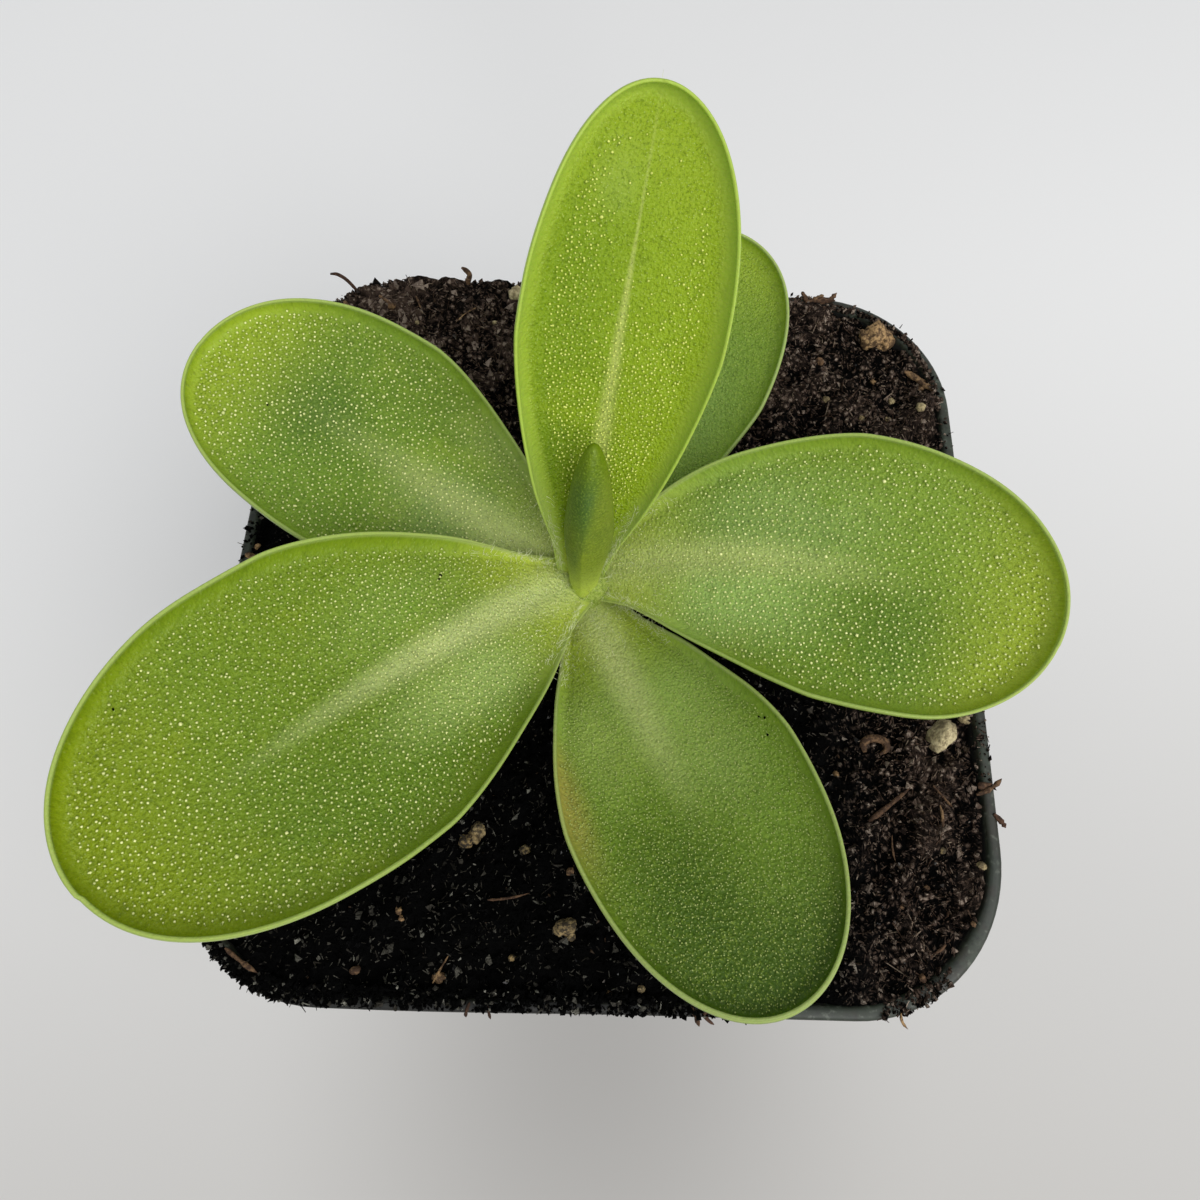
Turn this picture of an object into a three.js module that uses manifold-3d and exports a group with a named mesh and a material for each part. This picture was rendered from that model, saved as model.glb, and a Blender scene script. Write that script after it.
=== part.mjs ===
// A butterwort (Pinguicula) rosette growing in a square nursery pot.
// Millimetres, +Z up. The origin is the middle of the pot's foot, where it stands on the table.

import * as THREE from 'three';
import { mergeVertices } from 'three/addons/utils/BufferGeometryUtils.js';
import Module from 'manifold-3d';

const wasm = await Module();
wasm.setup();

// ---------------------------------------------------------------- driving dimensions

// Pot: thin moulded walls that taper from a square rim to a smaller square foot.
const POT_HEIGHT = 82;
const RIM_SIDE = 89;
const RIM_CORNER = 17;
const RIM_BAND = 9;
const RIM_STEP = 1.1;
const RIM_LIP = 1.7;
const RIM_BEVEL = 0.5;
const FOOT_SIDE = 64;
const FOOT_CORNER = 12;
const FOOT_BEVEL = 1.2;
const WALL = 1.0;
const SHOULDER_WALL = 1.2;
const SHOULDER_RISE = 1.3;
const FLOOR = 1.2;
const DRAIN_DIAMETER = 7;
const DRAIN_OFFSET = 20;
const CORNER_STEPS = 6;

// Soil: it stands level with the rim, heaped against the back left wall and low along the right.
const SOIL_GAP = 0.3;
const SOIL_DROP = 1.4;
const SOIL_HEAP = 3.6;
const SOIL_DIP = 2.2;
const SOIL_LUMP = 0.45;
const SOIL_RINGS = 11;

// Crown: a short tapered stem that carries the leaves, with a blunt stub that goes into the soil.
const CROWN_X = -2.2;
const CROWN_Y = 0.6;
const CROWN_TOP = 5.6;
const CROWN_TOP_RADIUS = 1.3;
const CROWN_NECK = 0.4;
const CROWN_NECK_RADIUS = 2.5;
const STUB_DEPTH = 9;
const STUB_RADIUS = 1.5;
const HOLE_GAP = 0.3;

// Every blade: thick at the midrib, thinner at the margin, which rolls up and over in a lip.
const BLADE_MIDRIB = 1.3;
const BLADE_EDGE = 0.8;
const LIP_RADIUS = 1.25;
const LIP_ROLL = 150;
const LIP_ROLL_AT_BASE = 35;
const LIP_FULL_FROM = 0.3;
const WIDEST_AT = 0.57;
const SHOULDER = 1.4;
const TIP_POWER = 2.35;
const FAN = 0.13;
const MIDRIB_STEPS = 60;

// The leaves, from the oldest and lowest to the youngest. Each is given by where its foot is on the
// crown, its length and greatest width, the way it points, how steeply it rises at its foot and
// ends at its tip, how far it turns sideways (sweep), how it is rolled and twisted about its
// midrib, how narrow its foot is, and how deep its trough is.
const LEAVES = [
  { name: 'leaf_back_right', foot: [-2.0, 3.4, 0.0], length: 44.8, width: 22.9, azimuth: 67,
    rise: 24, fall: 12, sweep: -2, roll: 1, twist: 2, base: 0.18, trough: 0.19, colour: 0x5c8f35 },
  { name: 'leaf_front', foot: [-1.6, -2.2, 0.6], length: 48.1, width: 23.7, azimuth: 293.5,
    rise: 30, fall: 17, sweep: 6, roll: 0, twist: 0, base: 0.23, trough: 0.19, colour: 0x5a8c36 },
  { name: 'leaf_left', foot: [-4.5, 1.5, 1.2], length: 48.0, width: 25.8, azimuth: 155,
    rise: 32, fall: 12, sweep: -1, roll: -1, twist: -2, base: 0.2, trough: 0.18, colour: 0x679a3a },
  { name: 'leaf_right', foot: [-0.2, 2.1, 2.2], length: 50.7, width: 27.9, azimuth: 0.4,
    rise: 42, fall: -10, sweep: -27.6, roll: 5.5, twist: 7, base: 0.18, trough: 0.19, colour: 0x6a9c3c },
  { name: 'leaf_front_left', foot: [-4.1, 0.1, 3.2], length: 55.4, width: 29.7, azimuth: 220.3,
    rise: 43, fall: 10.5, sweep: 9, roll: -7.5, twist: -3, base: 0.17, trough: 0.2, colour: 0x70a338 },
  { name: 'leaf_back', foot: [-2.9, 1.8, 4.0], length: 52.7, width: 20.1, azimuth: 76.2,
    rise: 63, fall: 38, sweep: 3.5, roll: 9, twist: 8, base: 0.2, trough: 0.23, colour: 0x86b52c },
  { name: 'leaf_centre', foot: [-2.6, -0.8, 4.4], length: 22.5, width: 5.5, azimuth: 261,
    rise: 97, fall: 128, sweep: 0, roll: 0, twist: 0, base: 0.5, trough: 0.8, colour: 0x5d8a3e,
    lip: 0.5, widest: 0.39, point: 1.55 },
];
const LEAF_COLUMNS = 15;
const BLADE_STEPS = 4;
const LIP_STEPS = 4;

// ---------------------------------------------------------------- small helpers

const radians = THREE.MathUtils.degToRad;

function geometryOf(points, triangles) {
  const geometry = new THREE.BufferGeometry();
  geometry.setAttribute('position', new THREE.Float32BufferAttribute(points.flat(), 3));
  geometry.setIndex(triangles.flat());
  return mergeVertices(geometry, 1e-4);
}

function solid(geometry) {
  const bare = geometry.clone();
  bare.deleteAttribute('normal');
  bare.deleteAttribute('uv');
  const merged = mergeVertices(bare, 1e-4);
  return new wasm.Manifold(new wasm.Mesh({
    numProp: 3,
    vertProperties: new Float32Array(merged.attributes.position.array),
    triVerts: new Uint32Array(merged.index.array),
  }));
}

function geometryFrom(manifold) {
  const cut = manifold.getMesh();
  const geometry = new THREE.BufferGeometry();
  geometry.setAttribute('position', new THREE.BufferAttribute(cut.vertProperties, 3));
  geometry.setIndex(new THREE.BufferAttribute(cut.triVerts, 1));
  return geometry;
}

// The largest body of a cut solid: slivers that a cut leaves loose are dropped.
function largestBody(manifold) {
  const bodies = manifold.decompose();
  return bodies.reduce((best, body) => (body.volume() > best.volume() ? body : best));
}

function finish(name, geometry, colour, roughness) {
  geometry.computeVertexNormals();
  const material = new THREE.MeshStandardMaterial({ color: colour, roughness, metalness: 0 });
  const mesh = new THREE.Mesh(geometry, material);
  mesh.name = name;
  return mesh;
}

// ---------------------------------------------------------------- pot and soil

// A rounded square as a ring of points, anticlockwise, with an arc at each corner.
function roundedSquare(half, corner) {
  const ring = [];
  for (let quarter = 0; quarter < 4; quarter += 1) {
    for (let step = 0; step <= CORNER_STEPS; step += 1) {
      const turn = (quarter + step / CORNER_STEPS) * Math.PI / 2;
      const middle = (quarter + 0.5) * Math.PI / 2;
      const centre = half - corner;
      ring.push([
        Math.sign(Math.cos(middle)) * centre + corner * Math.cos(turn),
        Math.sign(Math.sin(middle)) * centre + corner * Math.sin(turn),
      ]);
    }
  }
  return ring;
}

// Rings of points joined into one closed skin, with a fan to a middle point at both ends.
function loft(rings, first, last) {
  const count = rings[0].length;
  const points = rings.flat();
  const triangles = [];
  for (let level = 0; level + 1 < rings.length; level += 1) {
    for (let k = 0; k < count; k += 1) {
      const a = level * count + k;
      const b = level * count + ((k + 1) % count);
      triangles.push([a, b, b + count], [a, b + count, a + count]);
    }
  }
  const end = (rings.length - 1) * count;
  points.push(first, last);
  for (let k = 0; k < count; k += 1) {
    const next = (k + 1) % count;
    triangles.push([points.length - 2, next, k], [points.length - 1, end + k, end + next]);
  }
  return geometryOf(points, triangles);
}

// Half the side of the pot's outer wall at a height: a straight taper up to the rim band.
function outerHalf(z) {
  const underRim = RIM_SIDE / 2 - RIM_STEP - 0.4;
  return THREE.MathUtils.mapLinear(z, 0, POT_HEIGHT, FOOT_SIDE / 2, underRim);
}

// The pot's inner wall from the rim down to the floor, as [half side, height] pairs: it steps in
// at the shoulder under the rim band.
function innerWall() {
  const bandFoot = POT_HEIGHT - RIM_BAND;
  return [
    [RIM_SIDE / 2 - RIM_LIP, POT_HEIGHT],
    [outerHalf(bandFoot) + RIM_STEP - SHOULDER_WALL, bandFoot + SHOULDER_RISE],
    [outerHalf(bandFoot) - WALL, bandFoot - SHOULDER_RISE],
    [outerHalf(FLOOR) - WALL, FLOOR],
  ];
}

function cornerAt(half) {
  return THREE.MathUtils.mapLinear(half, FOOT_SIDE / 2, RIM_SIDE / 2, FOOT_CORNER, RIM_CORNER);
}

function ringAt(half, z) {
  return roundedSquare(half, cornerAt(half)).map(([x, y]) => [x, y, z]);
}

function buildPot() {
  const rim = RIM_SIDE / 2;
  const bandFoot = POT_HEIGHT - RIM_BAND;
  const sections = [
    [FOOT_SIDE / 2 - FOOT_BEVEL, 0],
    [outerHalf(FOOT_BEVEL), FOOT_BEVEL],
    [outerHalf(bandFoot), bandFoot],
    [outerHalf(bandFoot) + RIM_STEP, bandFoot + RIM_BEVEL],
    [rim, POT_HEIGHT - RIM_BEVEL],
    [rim - RIM_BEVEL, POT_HEIGHT],
    ...innerWall(),
  ];
  const rings = sections.map(([half, z]) => ringAt(half, z));
  let pot = solid(loft(rings, [0, 0, 0], [0, 0, FLOOR]));
  for (const [x, y] of [[1, 1], [-1, 1], [-1, -1], [1, -1]]) {
    const drain = new THREE.CylinderGeometry(DRAIN_DIAMETER / 2, DRAIN_DIAMETER / 2, 4 * FLOOR, 16);
    drain.rotateX(Math.PI / 2).translate(x * DRAIN_OFFSET, y * DRAIN_OFFSET, FLOOR / 2);
    pot = pot.subtract(solid(drain));
  }
  return finish('pot', geometryFrom(pot), 0x2e3a35, 0.5);
}

// The soil's top: level, heaped towards the back left wall, low by the right wall, and lumpy.
function soilTop(x, y) {
  const half = RIM_SIDE / 2;
  const backLeft = THREE.MathUtils.smoothstep(y / half, 0.55, 0.95)
    * THREE.MathUtils.smoothstep(-x / half, -0.25, 0.2);
  const right = THREE.MathUtils.smoothstep(x / half, 0.55, 0.95);
  const lumps = Math.sin(0.61 * x + 1.3) * Math.sin(0.53 * y + 0.4)
    + 0.6 * Math.sin(1.13 * x - 0.7 * y) + 0.4 * Math.sin(0.9 * y + 1.7 * x + 2.0);
  return POT_HEIGHT - SOIL_DROP + SOIL_HEAP * backLeft - SOIL_DIP * right + SOIL_LUMP * lumps;
}

function crownOutline(gap) {
  const z = POT_HEIGHT;
  return [
    [0, z - STUB_DEPTH],
    [STUB_RADIUS * 0.6 + gap, z - STUB_DEPTH],
    [STUB_RADIUS + gap, z - STUB_DEPTH + 2],
    [CROWN_NECK_RADIUS + gap, z - SOIL_DROP - 1],
    [CROWN_NECK_RADIUS + gap, z + CROWN_NECK],
    [CROWN_TOP_RADIUS + gap, z + CROWN_TOP - 0.6],
    [CROWN_TOP_RADIUS * 0.55 + gap, z + CROWN_TOP + gap],
    [0, z + CROWN_TOP + gap],
  ];
}

function crownGeometry(gap) {
  const profile = crownOutline(gap).map(([r, z]) => new THREE.Vector2(r, z));
  const lathe = new THREE.LatheGeometry(profile, 20);
  return lathe.rotateX(Math.PI / 2).translate(CROWN_X, CROWN_Y, 0);
}

// The soil's outermost ring of top points, which follows the wall down where the soil is low.
function soilEdge() {
  const [[rimHalf, rimZ], [bandHalf, bandZ]] = innerWall();
  return ringAt(rimHalf - SOIL_GAP, 0).map(([x, y]) => {
    const z = Math.min(soilTop(x, y), rimZ);
    const share = (THREE.MathUtils.mapLinear(z, bandZ, rimZ, bandHalf, rimHalf) - SOIL_GAP)
      / (rimHalf - SOIL_GAP);
    return [x * share, y * share];
  });
}

function buildSoil() {
  const lowerWall = innerWall().slice(1).reverse();
  const rings = lowerWall.map(([half, z]) => ringAt(half - SOIL_GAP, z));
  const edge = soilEdge();
  for (let ring = 0; ring < SOIL_RINGS; ring += 1) {
    const scale = 1 - ring / SOIL_RINGS;
    rings.push(edge.map(([x, y]) => [x * scale, y * scale, soilTop(x * scale, y * scale)]));
  }
  const filled = solid(loft(rings, [0, 0, FLOOR], [0, 0, soilTop(0, 0)]));
  const soil = filled.subtract(solid(crownGeometry(HOLE_GAP)));
  return finish('soil', geometryFrom(soil), 0x1d1613, 0.95);
}

function buildCrown() {
  return finish('crown', crownGeometry(0), 0x8da06a, 0.5);
}

// ---------------------------------------------------------------- leaves

// The outline: the share of the half width at the share t of the length. It swells from a narrow
// foot to its widest, then closes in a tip, which is rounder for a higher power.
function outlineAt(leaf, t) {
  const widest = leaf.widest ?? WIDEST_AT;
  if (t < widest) {
    return 1 - (1 - leaf.base) * (1 - t / widest) ** SHOULDER;
  }
  const past = (t - widest) / (1 - widest);
  return Math.sqrt(Math.max(0, 1 - past ** (leaf.point ?? TIP_POWER)));
}

// The midrib as a list of frames: a point, the side direction and the upper face's normal.
function midribOf(leaf) {
  const frames = [];
  const point = new THREE.Vector3(leaf.foot[0], leaf.foot[1], leaf.foot[2] + POT_HEIGHT);
  const step = leaf.length / MIDRIB_STEPS;
  for (let k = 0; k <= MIDRIB_STEPS; k += 1) {
    const t = k / MIDRIB_STEPS;
    const up = radians(leaf.rise + (leaf.fall - leaf.rise) * t);
    const around = radians(leaf.azimuth + leaf.sweep * t);
    const roll = radians(leaf.roll + leaf.twist * t);
    const ahead = new THREE.Vector3(
      Math.cos(up) * Math.cos(around), Math.cos(up) * Math.sin(around), Math.sin(up));
    const side = new THREE.Vector3(-Math.sin(around), Math.cos(around), 0);
    const normal = new THREE.Vector3().crossVectors(ahead, side);
    frames.push({
      point: point.clone(),
      side: side.clone().applyAxisAngle(ahead, roll),
      normal: normal.clone().applyAxisAngle(ahead, roll),
    });
    point.addScaledVector(ahead, step);
  }
  return frames;
}

// A place on the leaf: x along the midrib, y to the side, h above the blade's middle surface.
function placeOn(leaf, frames, x, y, h) {
  const at = THREE.MathUtils.clamp(x / leaf.length, 0, 1) * MIDRIB_STEPS;
  const low = Math.min(Math.floor(at), MIDRIB_STEPS - 1);
  const share = at - low;
  const mix = (key) => frames[low][key].clone().lerp(frames[low + 1][key], share);
  const lift = leaf.trough * y * y / (leaf.width / 2) + h;
  const place = mix('point').addScaledVector(mix('side'), y).addScaledVector(mix('normal'), lift);
  return place.toArray();
}

// One row across half the blade, from the midrib out to the rolled margin, on one face.
// face is +1 for the upper face and -1 for the lower.
function rowAcross(leaf, frames, turn, face) {
  const t = Math.sin(turn);
  const side = turn < Math.PI / 2 ? 1 : -1;
  const spine = leaf.length * t * (1 - FAN * t ** 3);
  const dx = leaf.length * t - spine;
  const dy = side * leaf.width / 2 * outlineAt(leaf, t);
  const reach = Math.hypot(dx, dy);
  const [ox, oy] = [dx / reach, dy / reach];
  const lip = leaf.lip ?? LIP_RADIUS;
  const grown = THREE.MathUtils.smoothstep(t, 0, LIP_FULL_FROM);
  const roll = radians(LIP_ROLL_AT_BASE + (LIP_ROLL - LIP_ROLL_AT_BASE) * grown);
  const centre = reach - lip * Math.sin(Math.min(roll, Math.PI / 2));
  const row = [];
  for (let k = 0; k < BLADE_STEPS; k += 1) {
    const out = centre * k / BLADE_STEPS;
    const half = (BLADE_MIDRIB + (BLADE_EDGE - BLADE_MIDRIB) * k / BLADE_STEPS) / 2;
    row.push(placeOn(leaf, frames, spine + ox * out, oy * out, face * half));
  }
  const middle = lip - BLADE_EDGE / 2;
  const radius = middle - face * BLADE_EDGE / 2;
  for (let k = 0; k <= LIP_STEPS; k += 1) {
    const angle = roll * k / LIP_STEPS;
    const out = centre + radius * Math.sin(angle);
    const h = middle - radius * Math.cos(angle);
    row.push(placeOn(leaf, frames, spine + ox * out, oy * out, h));
  }
  return row;
}

function leafGeometry(leaf) {
  const frames = midribOf(leaf);
  const columns = 2 * LEAF_COLUMNS;
  const points = [];
  const faces = [1, -1];
  const width = BLADE_STEPS + LIP_STEPS + 1;
  for (const face of faces) {
    for (let column = 0; column <= columns; column += 1) {
      points.push(...rowAcross(leaf, frames, Math.PI * column / columns, face));
    }
  }
  const index = (face, column, k) => (face * (columns + 1) + column) * width + k;
  const triangles = [];
  const quad = (a, b, c, d) => triangles.push([a, b, c], [a, c, d]);
  for (let column = 0; column < columns; column += 1) {
    for (let k = 0; k + 1 < width; k += 1) {
      quad(index(0, column, k), index(0, column + 1, k), index(0, column + 1, k + 1),
        index(0, column, k + 1));
      quad(index(1, column, k), index(1, column, k + 1), index(1, column + 1, k + 1),
        index(1, column + 1, k));
    }
    quad(index(0, column, width - 1), index(0, column + 1, width - 1),
      index(1, column + 1, width - 1), index(1, column, width - 1));
  }
  for (let k = 0; k + 1 < width; k += 1) {
    quad(index(0, 0, k), index(0, 0, k + 1), index(1, 0, k + 1), index(1, 0, k));
    quad(index(0, columns, k + 1), index(0, columns, k), index(1, columns, k),
      index(1, columns, k + 1));
  }
  return geometryOf(points, triangles);
}

function buildLeaf(leaf) {
  const blade = solid(leafGeometry(leaf));
  const seated = largestBody(blade.subtract(solid(crownGeometry(HOLE_GAP))));
  return finish(leaf.name, geometryFrom(seated), leaf.colour, 0.45);
}

// ---------------------------------------------------------------- assembly

const butterwort = new THREE.Group();
butterwort.add(buildPot(), buildSoil(), buildCrown());
for (const leaf of LEAVES) {
  butterwort.add(buildLeaf(leaf));
}

export default butterwort;
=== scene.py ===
"""A butterwort rosette in its square nursery pot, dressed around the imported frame.

Lengths are millimetres and become metres as each mesh is made. +Z is up, and the origin is the
middle of the pot's foot, where it stands on the table.
"""

import math

import bpy
import numpy as np
from mathutils import Matrix, Vector


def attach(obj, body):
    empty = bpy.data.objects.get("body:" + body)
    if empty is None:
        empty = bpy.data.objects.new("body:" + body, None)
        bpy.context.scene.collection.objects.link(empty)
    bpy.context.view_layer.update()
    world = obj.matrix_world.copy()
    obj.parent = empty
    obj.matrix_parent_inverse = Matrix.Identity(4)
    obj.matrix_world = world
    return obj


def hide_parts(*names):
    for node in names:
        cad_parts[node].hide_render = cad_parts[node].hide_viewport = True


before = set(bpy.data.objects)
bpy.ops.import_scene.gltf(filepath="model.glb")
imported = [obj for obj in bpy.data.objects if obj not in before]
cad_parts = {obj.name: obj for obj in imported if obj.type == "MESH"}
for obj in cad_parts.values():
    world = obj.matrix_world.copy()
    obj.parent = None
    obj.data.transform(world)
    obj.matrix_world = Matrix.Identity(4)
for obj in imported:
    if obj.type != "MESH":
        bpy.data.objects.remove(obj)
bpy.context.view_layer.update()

# ---------------------------------------------------------------- sizes

MM = 0.001

# Pot: a square rim that stands out from tapered walls. The walls meet it tucked a little in, its
# band has a rounded lower edge and a slight taper, and the walls bow in and out by WALL_BOW.
POT_HEIGHT = 82.0
RIM_SIDE = 89.0
RIM_CORNER = 17.0
RIM_BAND = 9.0
RIM_STEP = 1.1
RIM_LIP = 1.4
RIM_ROUND = 0.5
FOOT_SIDE = 64.0
FOOT_CORNER = 12.0
FOOT_BEVEL = 1.2
WALL = 1.0
SHOULDER_WALL = 1.2
SHOULDER_RISE = 1.3
POT_FLOOR = 1.2
DRAIN_RADIUS = 3.5
DRAIN_OFFSET = 20.0
CORNER_STEPS = 20
SIDE_STEPS = 16
RIM_HALF = RIM_SIDE / 2
MOUTH_HALF = RIM_HALF - RIM_LIP
RIM_TUCK = 0.4
BAND_ROUND = 0.5
BAND_TAPER = 0.12
WALL_BOW = 0.22

# Soil: level with the rim, heaped at the back left and a little low along the right wall.
SOIL_GAP = 0.15
SOIL_DROP = 0.45
SOIL_HEAP = 3.0
SOIL_DIP = 0.25
SOIL_LUMP = 0.4
SOIL_RINGS = 98
CRUMB_COUNT = 19000
WET_COUNT = 3000
NEEDLE_COUNT = 15500

# Crown: the short stem that carries the leaves.
CROWN_X = -2.2
CROWN_Y = 0.6
CROWN_TOP = 5.6
CROWN_TOP_RADIUS = 1.3
CROWN_NECK = 0.4
CROWN_NECK_RADIUS = 2.5
STUB_DEPTH = 9.0
STUB_RADIUS = 1.5

# Every blade: thick at the midrib, thinner at the margin, which curls up in a lip. What grows just
# past the lip's start is lifted by LIP_CLIMB, and by no more than at LIP_CLIMB_TO. The foot runs
# back into the crown by the heel.
BLADE_MIDRIB = 1.3
BLADE_EDGE = 0.8
LIP_ARC = 3.1
LIP_ROLL = 106.0
LIP_ROLL_AT_BASE = 30.0
LIP_AT_BASE = 0.35
LIP_GATHER = 1.15
LIP_EDGE = 0.34
LIP_CLIMB = 0.4
LIP_CLIMB_TO = 1.3
LIP_FULL_FROM = 0.32
HEEL = 2.4
HEEL_TO = 0.1
WIDEST_AT = 0.57
SHOULDER = 1.4
TIP_POWER = 2.35
FAN = 0.13
MIDRIB_STEPS = 60
TURN_STEPS = 180
BLADE_STEPS = 18
LIP_STEPS = 12
LIP_END_STEPS = 4

# Stalked glands: the head's radius, the stalk's height and radius, how far they keep inside the
# lip's start, which is below nought because they climb it, the width over which they thin out
# there, and the share of the length past which the middle of the blade is bare, which is past the
# tip.
GLAND_RADIUS = 0.135
STALK_HEIGHT = 0.2
STALK_RADIUS = 0.07
GLAND_CLEAR = -1.1
GLAND_FADE = 0.25
GLAND_BARE = 2.0

# Hairs at the leaf bases: how many on each leaf and on the crown, the points along each, and the
# share of the leaf's length where they start and how much of it they cover.
HAIRS_PER_LEAF = 560
CROWN_HAIRS = 260
HAIR_STEPS = 3
HAIRS_FROM = 0.02
HAIRS_OVER = 0.19

# Stage, in metres: half the table's side, and a square window light with its place and aim.
TABLE_REACH = 2.0
WINDOW_SIDE = 0.8
WINDOW_PLACE = (0.38, -0.42, 0.70)
WINDOW_AIM = (0, 0, 0.08)
WINDOW_WATTS = 5.6
WINDOW_COLOUR = (1.0, 0.99, 0.97)
SKY_COLOUR = "#eef0f2"
SKY_STRENGTH = 0.57

# Camera: close over the pot, steeply down from the front. Angles are in degrees.
VIEW_AZIMUTH = -1.663
VIEW_ELEVATION = 67.517
VIEW_ROLL = 3.575
VIEW_DISTANCE = 112.482
VIEW_TARGET = (3.134, 10.838, POT_HEIGHT)
VIEW_LENS = 27.0
VIEW_SENSOR = 36.0
VIEW_SHIFT = (-0.02825, -0.0725)

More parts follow.
